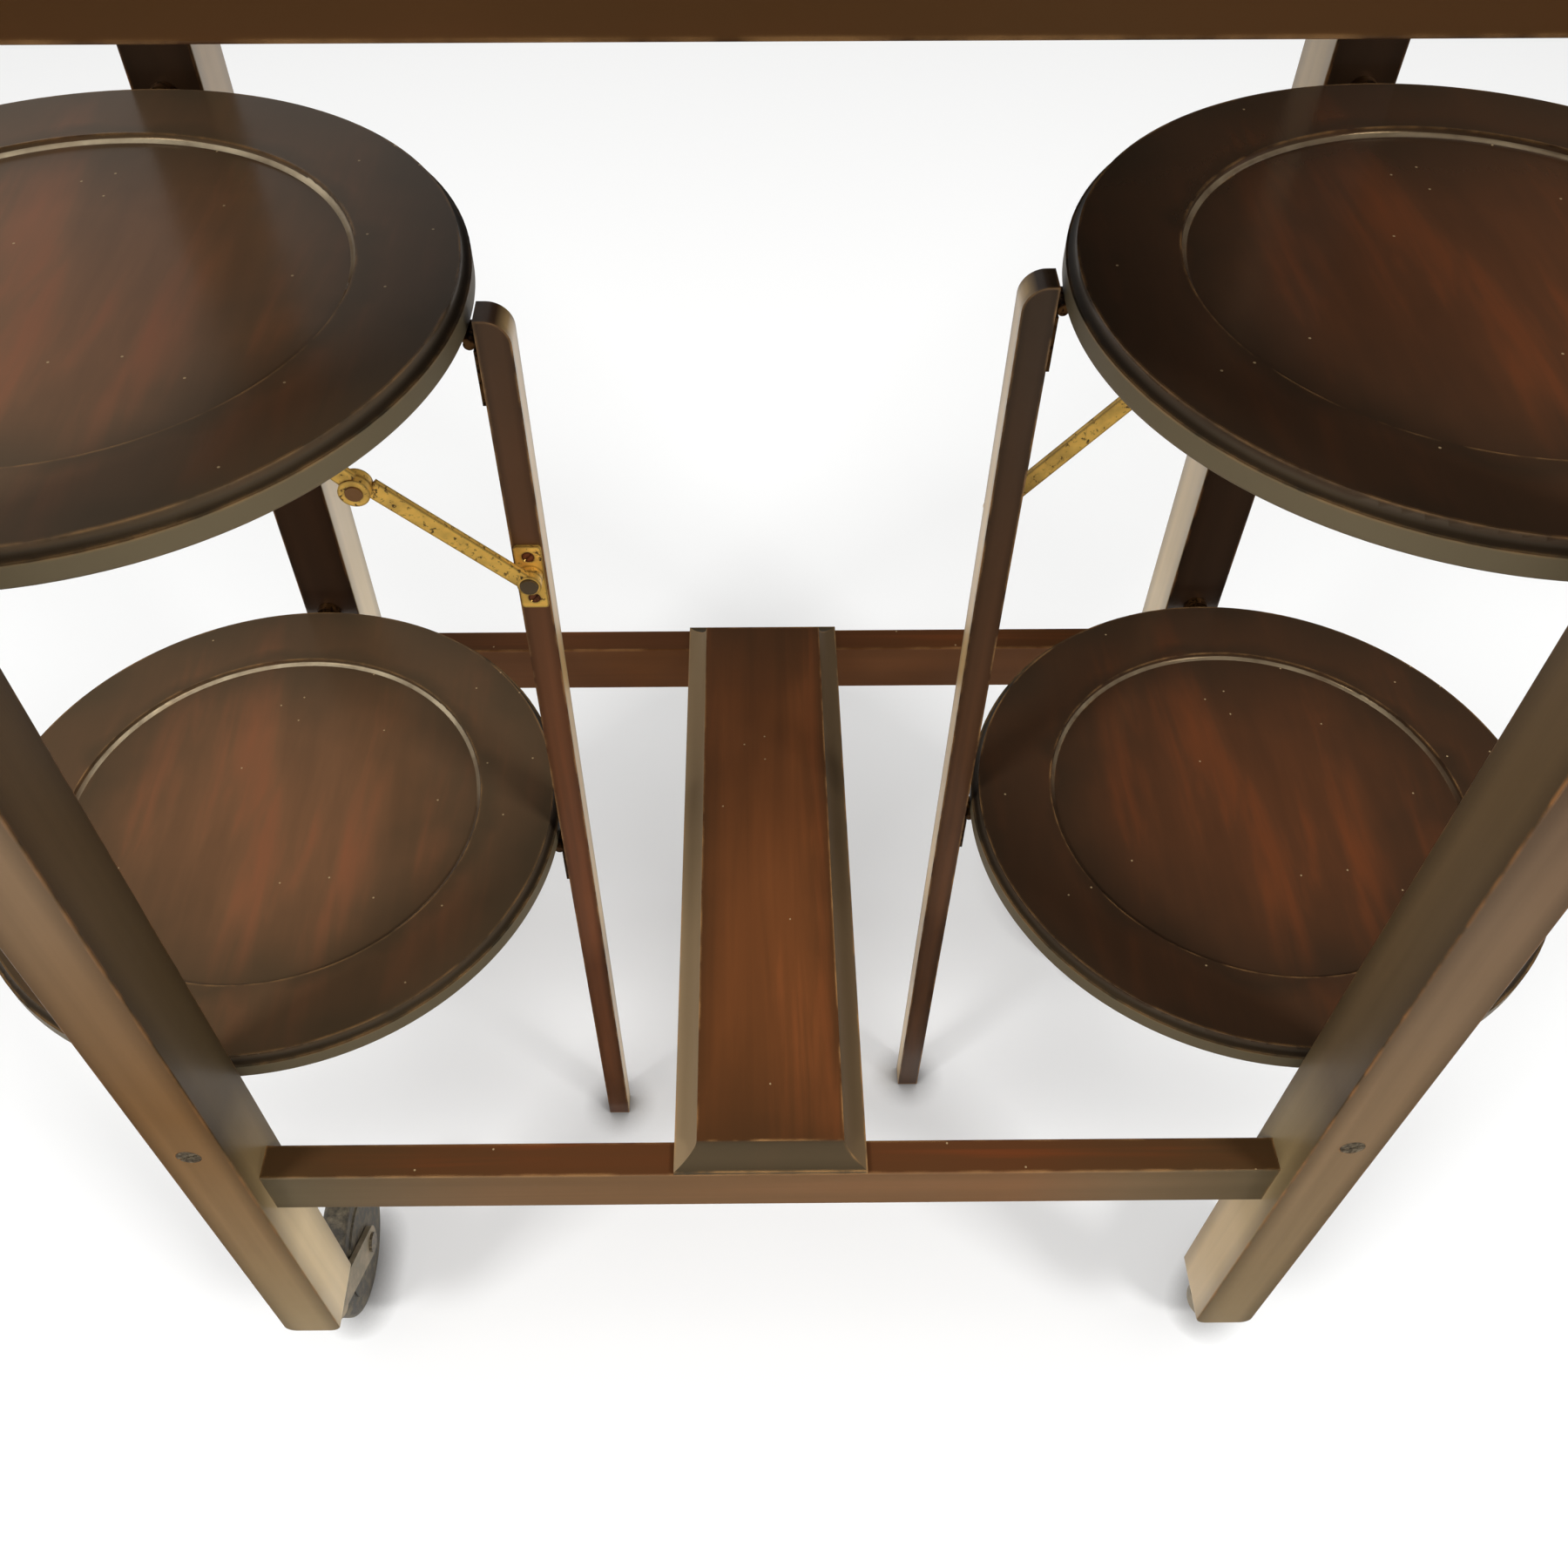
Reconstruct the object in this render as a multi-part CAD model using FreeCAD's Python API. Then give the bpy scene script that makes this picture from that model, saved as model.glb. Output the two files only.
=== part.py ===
import FreeCAD, Part
import math
import os

# Folding cake-stand side table, millimetres, +Z up, front is -Y, floor at Z = 0.

# Main frame
inner_width = 440.0
leg_width = 28.5
leg_depth = 33.5
top_underside = 724.5
foot_rounding = 6.0
arris = 0.9

# Table top and the cleats that carry it
top_end_overhang = 14.5
top_front_overhang = 12.0
top_thickness = 18.0
top_rounding = 2.5
top_corner_radius = 6.0
cleat_width = 16.0
cleat_height = 12.5
cleat_outer_inset = 1.5

# Stretchers and the board that bridges them
stretcher_top = 244.0
stretcher_height = 31.5
stretcher_depth = 15.5
tenon_length = 12.0
tenon_thickness = 7.0
tenon_shoulder = 5.0
joint_clearance = 0.2
board_width = 83.5
board_thickness = 12.0
board_cove = 10.0
board_edge = 2.4

# Round plates
plate_radius = 136.3
plate_thickness = 13.6
plate_bottom_rounding = 2.0
fascia_step = 0.8
cove_width = 3.1
cove_height = 4.5
border_width = 34.7
recess_depth = 2.8
recess_cove = 2.2
upper_plate_top = 570.0
lower_plate_top = 291.6
pivot_from_leg_face = 15.5

# Pivot screws and their spacers
pivot_head_diameter = 10.0
pivot_shank_diameter = 5.0
pivot_reach = 20.0
pivot_end_gap = 0.5
running_clearance = 0.05
fit_clearance = 0.15
spacer_diameter = 12.0
spacer_thickness = 4.7
spacer_gap = 0.5
slot_width = 1.1
slot_depth = 1.0
pivot_slot_turn = 25.0

# Slim third leg of each stand
stand_leg_width = 12.0
stand_leg_depth = 12.0
stand_leg_offset = 9.0
stand_leg_below_top = 7.0
stand_leg_rounding = 9.0
rim_gap = 2.1

# Flap hinges
knuckle_radius = 2.0
knuckle_clearance = 0.3
leaf_thickness = 1.2
leaf_length = 24.0
leaf_margin = 0.3
leaf_gap = 0.4
leaf_screw_from_end = 5.0
leaf_screw_spacing = 10.0
knuckle_gap = 0.15
hinge_pin_radius = 0.9

# Small countersunk screws
screw_head_radius = 2.4
screw_shank_radius = 1.2
screw_head_depth = 1.2
screw_length = 7.5
screw_slot_width = 0.6
screw_slot_depth = 0.5
stand_slot_turn = 35.0
plate_slot_turn = 20.0
stay_slot_turn = 50.0
bracket_slot_turn = 70.0

# Wood screws that hold the board and the top
wood_screw_head_radius = 3.6
wood_screw_shank_radius = 1.9
wood_screw_head_depth = 1.8
wood_screw_cover = 7.5
board_screw_short_of_top = 7.0

# Jointed brass stays
stay_leg_drop = 100.0
stay_plate_reach = 81.0
stay_plate_drop = 4.0
elbow_reach = 45.3
elbow_drop = 47.5
elbow_sag = 2.3
elbow_shoulder = 4.0
elbow_radius = 5.6
arm_width = 7.0
arm_thickness = 2.25
arm_eye_radius = 4.6
arm_gap = 0.25
arm_splay = 5.6
eye_thickness = 3.25
stud_radius = 2.5
stud_head_radius = 3.4
stud_head_height = 0.8
rivet_radius = 3.0
rivet_height = 0.6
stay_plate_margin = 0.75
stay_plate_thickness = 1.5
stay_plate_corner = 1.5
stay_plate_above = 14.0
stay_plate_below = 17.0
stay_screw_from_end = 5.0
stay_boss_radius = 4.6
stay_boss_height = 2.8
bracket_length = 30.0
bracket_flange = 11.0

# Castors
wheel_radius = 40.0
tyre_width = 14.0
tyre_rounding = 4.0
hub_radius = 27.0
hub_cap_lip = 2.0
hub_cap_thickness = 1.0
castor_head_rise = 37.5
wheel_clearance = 2.136
castor_stem_radius = 4.5
castor_stem_length = 28.0
castor_flange_radius = 11.5
castor_flange_thickness = 3.0
castor_socket_wall = 2.0
castor_swivel_gap = 0.3
crown_radius = 12.0
crown_height = 8.0
cheek_thickness = 3.0
cheek_gap = 0.6
cheek_end_radius = 9.0
cheek_front_inset = 12.0
cheek_back_reach = 4.0
axle_radius = 3.0
axle_head_lip = 2.5
axle_head_height = 1.5
castor_turn = {"front_left": 0.0, "front_right": -40.0, "back_left": -168.0, "back_right": 165.0}

V = FreeCAD.Vector
os.makedirs("parts", exist_ok=True)


def box(x0, x1, y0, y1, z0, z1):
    return Part.makeBox(x1 - x0, y1 - y0, z1 - z0, V(x0, y0, z0))


def rod(radius, start, end):
    a = V(*start)
    b = V(*end)
    return Part.makeCylinder(radius, (b - a).Length, a, b - a)


def vertical_edges(shape):
    found = []
    for e in shape.Edges:
        a = e.Vertexes[0].Point
        b = e.Vertexes[-1].Point
        if abs(a.x - b.x) < 1e-6 and abs(a.y - b.y) < 1e-6:
            found.append(e)
    return found


def edges_along_x(shape):
    found = []
    for e in shape.Edges:
        a = e.Vertexes[0].Point
        b = e.Vertexes[-1].Point
        if abs(a.y - b.y) < 1e-6 and abs(a.z - b.z) < 1e-6 and abs(a.x - b.x) > 1.0:
            found.append(e)
    return found


def lies_at(edge, place):
    for axis, value in place.items():
        if any(abs(getattr(v.Point, axis) - value) > 1e-6 for v in edge.Vertexes):
            return False
    return True


def edges_at(shape, **place):
    # Edges whose ends all have the given coordinates, such as z=0.
    return [e for e in shape.Edges if lies_at(e, place)]


def half_turn(shape):
    turned = shape.copy()
    turned.rotate(V(0, 0, 0), V(0, 0, 1), 180)
    return turned


def save(shape, name):
    if not shape.isValid():
        raise ValueError(name + " is not a sound solid")
    shape.exportStep("parts/" + name + ".step")


def revolve_section(points):
    wire = Part.makePolygon([V(*p) for p in points + [points[0]]])
    return Part.Face(wire).revolve(V(0, 0, 0), V(0, 0, 1), 360)


def countersunk(head_radius, shank_radius, head_depth, length, slot, slot_into):
    # Head's flat face at the origin, shank along -Z, slot across the head along X.
    screw = revolve_section([
        (0, 0, 0),
        (head_radius, 0, 0),
        (shank_radius, 0, -head_depth),
        (shank_radius, 0, -length),
        (0, 0, -length),
    ])
    cut = box(-head_radius, head_radius, -slot / 2, slot / 2, -slot_into, 1.0)
    return screw.cut(cut)


def countersink_hole(head_radius, shank_radius, head_depth, length, gap):
    return revolve_section([
        (0, 0, 1.0),
        (head_radius + gap, 0, 1.0),
        (head_radius + gap, 0, 0),
        (shank_radius + gap, 0, -head_depth),
        (shank_radius + gap, 0, -length - gap),
        (0, 0, -length - gap),
    ])


def place(shape, at, outward, spin=0.0):
    # Turn a shape built along +Z so that its +Z points outward, and move it to at.
    turned = shape.copy()
    turned.rotate(V(0, 0, 0), V(0, 0, 1), spin)
    turn = FreeCAD.Rotation(V(0, 0, 1), V(*outward))
    turned.Placement = FreeCAD.Placement(V(*at), turn).multiply(turned.Placement)
    return turned


def small_screw(at, outward, spin=0.0):
    shape = countersunk(
        screw_head_radius, screw_shank_radius, screw_head_depth, screw_length,
        screw_slot_width, screw_slot_depth)
    return place(shape, at, outward, spin)


def small_hole(at, outward):
    shape = countersink_hole(
        screw_head_radius, screw_shank_radius, screw_head_depth, screw_length, fit_clearance)
    return place(shape, at, outward)


# Places worked out from the sizes above
leg_gap = 2 * (plate_radius + spacer_gap + spacer_thickness)
frame_depth = leg_gap + 2 * leg_depth
castor_height = wheel_radius + castor_head_rise
half_inner = inner_width / 2
half_depth = frame_depth / 2
leg_mid_x = half_inner + leg_width / 2
leg_mid_y = half_depth - leg_depth / 2
top_length = inner_width + 2 * leg_width + 2 * top_end_overhang
top_depth = frame_depth + 2 * top_front_overhang
pivot_x = half_inner + pivot_from_leg_face
plate_tops = {"upper": upper_plate_top, "lower": lower_plate_top}
plate_top_radius = plate_radius - cove_width
fascia_height = plate_thickness - cove_height
recess_radius = plate_top_radius - border_width
knuckle_stand_off = knuckle_radius + knuckle_clearance
leaf_width = stand_leg_depth - 2 * leaf_margin
wood_screw_length = cleat_height + top_thickness - wood_screw_cover
stretcher_outer = leg_mid_y + stretcher_depth / 2
stretcher_inner = leg_mid_y - stretcher_depth / 2
stretcher_bottom = stretcher_top - stretcher_height
stand_face_x = pivot_x - plate_radius - rim_gap
knuckle_x = stand_face_x + knuckle_stand_off

# Legs with mortises, pivot-screw holes and castor holes
pivot_hole = countersink_hole(
    pivot_head_diameter / 2, pivot_shank_diameter / 2,
    (pivot_head_diameter - pivot_shank_diameter) / 2, leg_depth + pivot_reach, fit_clearance)
socket_radius = castor_stem_radius + running_clearance + castor_socket_wall
socket_depth = castor_stem_length + 2.0


def leg(side_x, side_y):
    x0 = side_x * leg_mid_x - leg_width / 2
    y0 = side_y * leg_mid_y - leg_depth / 2
    shape = box(x0, x0 + leg_width, y0, y0 + leg_depth, castor_height, top_underside)
    foot = edges_at(shape, x=x0, z=castor_height) + edges_at(shape, x=x0 + leg_width, z=castor_height)
    shape = shape.makeFillet(foot_rounding, foot)
    outline = edges_at(shape, y=y0) + edges_at(shape, y=y0 + leg_depth)
    shape = shape.makeFillet(arris, [e for e in outline if not lies_at(e, {"z": top_underside})])
    inner = side_x * half_inner
    reach = side_x * (tenon_length + joint_clearance)
    side = tenon_thickness / 2 + joint_clearance
    mortise = box(
        min(inner, inner + reach), max(inner, inner + reach),
        side_y * leg_mid_y - side, side_y * leg_mid_y + side,
        stretcher_bottom + tenon_shoulder - joint_clearance,
        stretcher_top - tenon_shoulder + joint_clearance)
    shape = shape.cut(mortise)
    for top in plate_tops.values():
        at = (side_x * pivot_x, side_y * half_depth, top - plate_thickness / 2)
        shape = shape.cut(place(pivot_hole, at, (0, side_y, 0)))
    socket_hole = rod(
        socket_radius + fit_clearance,
        (side_x * leg_mid_x, side_y * leg_mid_y, castor_height - 1),
        (side_x * leg_mid_x, side_y * leg_mid_y, castor_height + socket_depth + fit_clearance))
    return shape.cut(socket_hole)


sides = {"left": -1, "right": 1}
ends = {"front": -1, "back": 1}
for end_name, end in ends.items():
    for side_name, side in sides.items():
        save(leg(side, end), end_name + "_" + side_name + "_leg")

# Stretchers with stub tenons, bored from below for the board's screws
wood_screw_hole = countersink_hole(
    wood_screw_head_radius, wood_screw_shank_radius, wood_screw_head_depth, wood_screw_length,
    fit_clearance)
board_screw_z = stretcher_top + board_thickness - board_screw_short_of_top - wood_screw_length
board_screw_places = []
for end in ends.values():
    for x in (-board_width / 4, board_width / 4):
        board_screw_places.append((x, end * (stretcher_outer - board_cove), board_screw_z))

for end_name, end in ends.items():
    y0 = end * leg_mid_y - stretcher_depth / 2
    bar = box(-half_inner, half_inner, y0, y0 + stretcher_depth, stretcher_bottom, stretcher_top)
    bar = bar.makeFillet(arris, edges_along_x(bar))
    tenon = box(
        -half_inner - tenon_length, half_inner + tenon_length,
        end * leg_mid_y - tenon_thickness / 2, end * leg_mid_y + tenon_thickness / 2,
        stretcher_bottom + tenon_shoulder, stretcher_top - tenon_shoulder)
    bar = bar.fuse(tenon).removeSplitter()
    for x, y, z in board_screw_places:
        if y * end > 0:
            bar = bar.cut(place(wood_screw_hole, (x, y, z), (0, 0, -1)))
            well = rod(wood_screw_head_radius + fit_clearance, (x, y, stretcher_bottom - 1), (x, y, z))
            bar = bar.cut(well)
    save(bar, end_name + "_stretcher")

# Centre board: a flat panel whose four edges are coves, mitred at the corners
half_board = board_width / 2
board_top = stretcher_top + board_thickness
cove_depth = board_thickness - board_edge


def cove_cutter(length):
    # Section in YZ: the outer upper arris is at the origin, the board lies towards +Y.
    bend = math.sqrt(0.5)
    curve = Part.Arc(
        V(0, board_cove, 0), V(0, board_cove * bend, -cove_depth * bend), V(0, 0, -cove_depth)).toShape()
    rest = Part.makePolygon([
        V(0, 0, -cove_depth),
        V(0, -1, -cove_depth),
        V(0, -1, 1),
        V(0, board_cove, 1),
        V(0, board_cove, 0),
    ])
    section = Part.Face(Part.Wire([curve] + rest.Edges))
    return section.extrude(V(length, 0, 0))


board = box(-half_board, half_board, -stretcher_outer, stretcher_outer, stretcher_top, board_top)
board_length = 2 * stretcher_outer
long_run = 2 * board_length
short_run = 2 * board_width
long_cut = cove_cutter(long_run)
short_cut = cove_cutter(short_run)
for turn, out, cutter, run in (
        (0, stretcher_outer, short_cut, short_run),
        (180, stretcher_outer, short_cut, short_run),
        (90, half_board, long_cut, long_run),
        (270, half_board, long_cut, long_run)):
    piece = cutter.copy()
    piece.translate(V(-run / 2, -out, board_top))
    piece.rotate(V(0, 0, 0), V(0, 0, 1), turn)
    board = board.cut(piece)
for at in board_screw_places:
    board = board.cut(place(wood_screw_hole, at, (0, 0, -1)))
save(board, "centre_board")

# Table top and its end cleats
cleat_outer = half_inner + leg_width - cleat_outer_inset
cleat_inner = cleat_outer - cleat_width
cleat_bottom = top_underside - cleat_height
cleat_mid = (cleat_outer + cleat_inner) / 2
cleat_screw_places = []
for side in sides.values():
    for y in (-leg_gap / 3, 0.0, leg_gap / 3):
        cleat_screw_places.append((side * cleat_mid, y, cleat_bottom))

top = box(
    -top_length / 2, top_length / 2, -top_depth / 2, top_depth / 2,
    top_underside, top_underside + top_thickness)
top = top.makeFillet(top_corner_radius, vertical_edges(top))
top = top.makeFillet(top_rounding, edges_at(top, z=top_underside + top_thickness))
top = top.makeFillet(arris, edges_at(top, z=top_underside))
for at in cleat_screw_places:
    top = top.cut(place(wood_screw_hole, at, (0, 0, -1)))
save(top, "table_top")

for side_name, side in sides.items():
    x0 = min(side * cleat_inner, side * cleat_outer)
    cleat = box(x0, x0 + cleat_width, -leg_gap / 2, leg_gap / 2, cleat_bottom, top_underside)
    for at in cleat_screw_places:
        if at[0] * side > 0:
            cleat = cleat.cut(place(wood_screw_hole, at, (0, 0, -1)))
    save(cleat, side_name + "_end_cleat")

wood_screw = countersunk(
    wood_screw_head_radius, wood_screw_shank_radius, wood_screw_head_depth, wood_screw_length,
    slot_width, slot_depth)
screws = [place(wood_screw, at, (0, 0, -1)) for at in board_screw_places + cleat_screw_places]
save(Part.makeCompound(screws), "wood_screws")

# Pivot screws through the legs into the plates' edges, with spacers between leg and plate
pivot_screw = countersunk(
    pivot_head_diameter / 2, pivot_shank_diameter / 2,
    (pivot_head_diameter - pivot_shank_diameter) / 2, leg_depth + pivot_reach, slot_width, slot_depth)
pivots = []
spacers = []
for side in sides.values():
    for end in ends.values():
        for top_z in plate_tops.values():
            z = top_z - plate_thickness / 2
            at = (side * pivot_x, end * half_depth, z)
            pivots.append(place(pivot_screw, at, (0, end, 0), pivot_slot_turn))
            y0 = end * leg_gap / 2
            y1 = end * (leg_gap / 2 - spacer_thickness)
            ring = rod(spacer_diameter / 2, (side * pivot_x, y0, z), (side * pivot_x, y1, z))
            bore = rod(
                pivot_shank_diameter / 2 + fit_clearance,
                (side * pivot_x, y0 + end, z), (side * pivot_x, y1 - end, z))
            spacers.append(ring.cut(bore))
save(Part.makeCompound(pivots), "plate_pivot_screws")
save(Part.makeCompound(spacers), "pivot_spacers")


def plate_blank():
    # Profile in XZ from the centre out, bottom face at Z = 0.
    t = plate_thickness
    r = plate_radius
    b = plate_bottom_rounding
    step = recess_radius
    bend = math.sqrt(0.5)
    floor_z = t - recess_depth
    lines = [
        Part.makeLine(V(0, 0, 0), V(r - b, 0, 0)),
        Part.Arc(V(r - b, 0, 0), V(r - b + b * bend, 0, b - b * bend), V(r, 0, b)).toShape(),
        Part.makeLine(V(r, 0, b), V(r, 0, fascia_height)),
        Part.makeLine(V(r, 0, fascia_height), V(r - fascia_step, 0, fascia_height)),
    ]
    wide = r - fascia_step - plate_top_radius
    high = t - fascia_height
    lines.append(Part.Arc(
        V(r - fascia_step, 0, fascia_height),
        V(r - fascia_step - wide * bend, 0, t - high * bend),
        V(plate_top_radius, 0, t)).toShape())
    lines.append(Part.makeLine(V(plate_top_radius, 0, t), V(step, 0, t)))
    lines.append(Part.Arc(
        V(step, 0, t),
        V(step - recess_cove * (1 - bend), 0, t - recess_depth * bend),
        V(step - recess_cove, 0, floor_z)).toShape())
    lines.append(Part.makeLine(V(step - recess_cove, 0, floor_z), V(0, 0, floor_z)))
    lines.append(Part.makeLine(V(0, 0, floor_z), V(0, 0, 0)))
    return Part.Face(Part.Wire(lines)).revolve(V(0, 0, 0), V(0, 0, 1), 360)


# Stand unit, built for the right-hand end; the left-hand end is the same turned half a turn
stand_y0 = stand_leg_offset - stand_leg_depth / 2
stand_y1 = stand_leg_offset + stand_leg_depth / 2
stand_x0 = stand_face_x - stand_leg_width
stand_mid_x = stand_face_x - stand_leg_width / 2
leaf_y0 = stand_leg_offset - leaf_width / 2
leaf_y1 = stand_leg_offset + leaf_width / 2
middle_half = leaf_width / 6
unit = {}

stand_leg_top = upper_plate_top - stand_leg_below_top
stand_leg = box(stand_x0, stand_face_x, stand_y0, stand_y1, 0, stand_leg_top)
stand_leg = stand_leg.makeFillet(stand_leg_rounding, edges_at(stand_leg, x=stand_x0, z=stand_leg_top))
stand_screws = []
plate_screws = {"upper": [], "lower": []}
plates = {}
plate_leaves = {}
stand_leaves = {}

for level, top_z in plate_tops.items():
    plate_bottom = top_z - plate_thickness
    knuckle_z = plate_bottom - knuckle_stand_off
    plate = plate_blank()
    plate.translate(V(pivot_x, 0, plate_bottom))
    pivot_z = top_z - plate_thickness / 2
    for end in ends.values():
        plate = plate.cut(rod(
            pivot_shank_diameter / 2 + running_clearance,
            (pivot_x, end * (plate_radius + 1), pivot_z),
            (pivot_x, end * (leg_gap / 2 - pivot_reach - pivot_end_gap), pivot_z)))

    # Leaf on the stand leg with the middle knuckle
    leaf = box(
        stand_face_x, stand_face_x + leaf_thickness, leaf_y0, leaf_y1,
        knuckle_z - leaf_length, knuckle_z - knuckle_radius - leaf_gap)
    tongue = box(
        stand_face_x, stand_face_x + leaf_thickness,
        stand_leg_offset - middle_half, stand_leg_offset + middle_half,
        knuckle_z - knuckle_radius - 2 * leaf_gap, knuckle_z)
    barrel = rod(
        knuckle_radius,
        (knuckle_x, stand_leg_offset - middle_half, knuckle_z),
        (knuckle_x, stand_leg_offset + middle_half, knuckle_z))
    pin_start = (knuckle_x, leaf_y0, knuckle_z)
    pin_end = (knuckle_x, leaf_y1, knuckle_z)
    bore = rod(hinge_pin_radius + running_clearance, pin_start, pin_end)
    leaf = leaf.fuse(tongue).fuse(barrel).cut(bore).removeSplitter()
    for drop in (leaf_length - leaf_screw_from_end, leaf_length - leaf_screw_from_end - leaf_screw_spacing):
        at = (stand_face_x + leaf_thickness, stand_leg_offset, knuckle_z - drop)
        leaf = leaf.cut(small_hole(at, (1, 0, 0)))
        stand_leg = stand_leg.cut(small_hole(at, (1, 0, 0)))
        stand_screws.append(small_screw(at, (1, 0, 0), stand_slot_turn))
    stand_leaves[level] = leaf

    # Leaf under the plate with the two outer knuckles and the pin
    under = box(
        knuckle_x + knuckle_radius + leaf_gap, knuckle_x + leaf_length, leaf_y0, leaf_y1,
        plate_bottom - leaf_thickness, plate_bottom)
    for y0, y1 in ((leaf_y0, stand_leg_offset - middle_half - knuckle_gap),
                   (stand_leg_offset + middle_half + knuckle_gap, leaf_y1)):
        under = under.fuse(box(
            knuckle_x, knuckle_x + knuckle_radius + 2 * leaf_gap, y0, y1,
            plate_bottom - leaf_thickness, plate_bottom))
        under = under.fuse(rod(knuckle_radius, (knuckle_x, y0, knuckle_z), (knuckle_x, y1, knuckle_z)))
    under = under.fuse(rod(hinge_pin_radius, pin_start, pin_end))
    under = under.removeSplitter()
    for reach in (leaf_length - leaf_screw_from_end, leaf_length - leaf_screw_from_end - leaf_screw_spacing):
        at = (knuckle_x + reach, stand_leg_offset, plate_bottom - leaf_thickness)
        under = under.cut(small_hole(at, (0, 0, -1)))
        plate = plate.cut(small_hole(at, (0, 0, -1)))
        plate_screws[level].append(small_screw(at, (0, 0, -1), plate_slot_turn))
    plate_leaves[level] = under
    plates[level] = plate

# Jointed stay between the upper plate and the stand leg
upper_bottom = upper_plate_top - plate_thickness
upper_knuckle_z = upper_bottom - knuckle_stand_off
leg_end = V(stand_mid_x, 0, upper_knuckle_z - stay_leg_drop)
plate_end = V(knuckle_x + stay_plate_reach, 0, upper_knuckle_z - stay_plate_drop)
elbow = V(knuckle_x + elbow_reach, 0, upper_knuckle_z - elbow_drop)
stay_y = stand_y1 + stay_plate_thickness
lower_eye_y = stay_y + stay_boss_height + arm_gap
lower_elbow_y = lower_eye_y + arm_splay
upper_y = lower_elbow_y + eye_thickness + 2 * arm_gap
lug_y = upper_y + eye_thickness + arm_gap


def disc(radius, centre, y0, y1):
    return rod(radius, (centre.x, y0, centre.z), (centre.x, y1, centre.z))


def arm(eye, eye_y, elbow_y, rivet_y, rivet_out):
    # A flat bar from the eye to a round elbow; its middle line runs a little above the elbow's pin.
    along = (elbow - eye).normalize()
    up = V(-along.z, 0, along.x)
    if up.z < 0:
        up = up * -1
    inset = (eye_thickness - arm_thickness) / 2
    stop = elbow + up * elbow_sag - along * elbow_shoulder
    start = V(eye.x, eye_y + inset, eye.z)
    run = V(stop.x - eye.x, elbow_y - eye_y, stop.z - eye.z)
    half = up * (arm_width / 2)
    depth = V(0, arm_thickness, 0)
    section = Part.Face(Part.makePolygon(
        [start - half, start + half, start + half + depth, start - half + depth, start - half]))
    bar = section.extrude(run)
    bar = bar.fuse(disc(arm_eye_radius, eye, eye_y, eye_y + eye_thickness))
    bar = bar.fuse(disc(elbow_radius, elbow, elbow_y, elbow_y + eye_thickness))
    rivet_ends = sorted((rivet_y, rivet_y + rivet_out))
    bar = bar.fuse(disc(rivet_radius, elbow, rivet_ends[0], rivet_ends[1]))
    hole = disc(stud_radius + running_clearance, eye, eye_y - eye_thickness, eye_y + 2 * eye_thickness)
    return bar.cut(hole).removeSplitter()


unit["stay_lower_arm"] = arm(leg_end, lower_eye_y, lower_elbow_y, lower_elbow_y, -rivet_height)
unit["stay_upper_arm"] = arm(plate_end, upper_y, upper_y, upper_y + eye_thickness, rivet_height)


def upright_plate(half_width, z0, z1, y0, y1):
    # Oblong plate with rounded corners, standing in the XZ plane on the stand leg's middle line.
    shape = box(stand_mid_x - half_width, stand_mid_x + half_width, y0, y1, z0, z1)
    corners = []
    for e in shape.Edges:
        a = e.Vertexes[0].Point
        b = e.Vertexes[1].Point
        if abs(a.x - b.x) < 1e-6 and abs(a.z - b.z) < 1e-6:
            corners.append(e)
    return shape.makeFillet(stay_plate_corner, corners)


plate_z0 = leg_end.z - stay_plate_below
plate_z1 = leg_end.z + stay_plate_above
stay_plate_half = stand_leg_width / 2 - stay_plate_margin
stay_plate = upright_plate(stay_plate_half, plate_z0, plate_z1, stand_y1, stay_y)
stay_plate = stay_plate.fuse(disc(stay_boss_radius, leg_end, stand_y1, stay_y + stay_boss_height))
head_y = lower_eye_y + eye_thickness + arm_gap
stay_plate = stay_plate.fuse(disc(stud_radius, leg_end, stand_y1, head_y))
stay_plate = stay_plate.fuse(disc(stud_head_radius, leg_end, head_y, head_y + stud_head_height))
for z in (plate_z0 + stay_screw_from_end, plate_z1 - stay_screw_from_end):
    at = (stand_mid_x, stay_y, z)
    stay_plate = stay_plate.cut(small_hole(at, (0, 1, 0)))
    stand_leg = stand_leg.cut(small_hole(at, (0, 1, 0)))
    stand_screws.append(small_screw(at, (0, 1, 0), stay_slot_turn))
unit["stay_plate"] = stay_plate.removeSplitter()

bracket_x0 = plate_end.x - bracket_length / 2
bracket_x1 = plate_end.x + bracket_length / 2
bracket = box(
    bracket_x0, bracket_x1, lug_y, lug_y + bracket_flange,
    upper_bottom - stay_plate_thickness, upper_bottom)
lug = box(
    plate_end.x - arm_eye_radius, plate_end.x + arm_eye_radius, lug_y, lug_y + arm_thickness,
    plate_end.z, upper_bottom)
bracket = bracket.fuse(lug).fuse(disc(arm_eye_radius, plate_end, lug_y, lug_y + arm_thickness))
head_y = upper_y - arm_gap
bracket = bracket.fuse(disc(stud_radius, plate_end, head_y, lug_y + arm_thickness))
bracket = bracket.fuse(disc(stud_head_radius, plate_end, head_y - stud_head_height, head_y))
flange_mid_y = lug_y + (bracket_flange + arm_thickness) / 2
for x in (bracket_x0 + stay_screw_from_end, bracket_x1 - stay_screw_from_end):
    at = (x, flange_mid_y, upper_bottom - stay_plate_thickness)
    bracket = bracket.cut(small_hole(at, (0, 0, -1)))
    plates["upper"] = plates["upper"].cut(small_hole(at, (0, 0, -1)))
    plate_screws["upper"].append(small_screw(at, (0, 0, -1), bracket_slot_turn))
unit["stay_bracket"] = bracket.removeSplitter()

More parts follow.
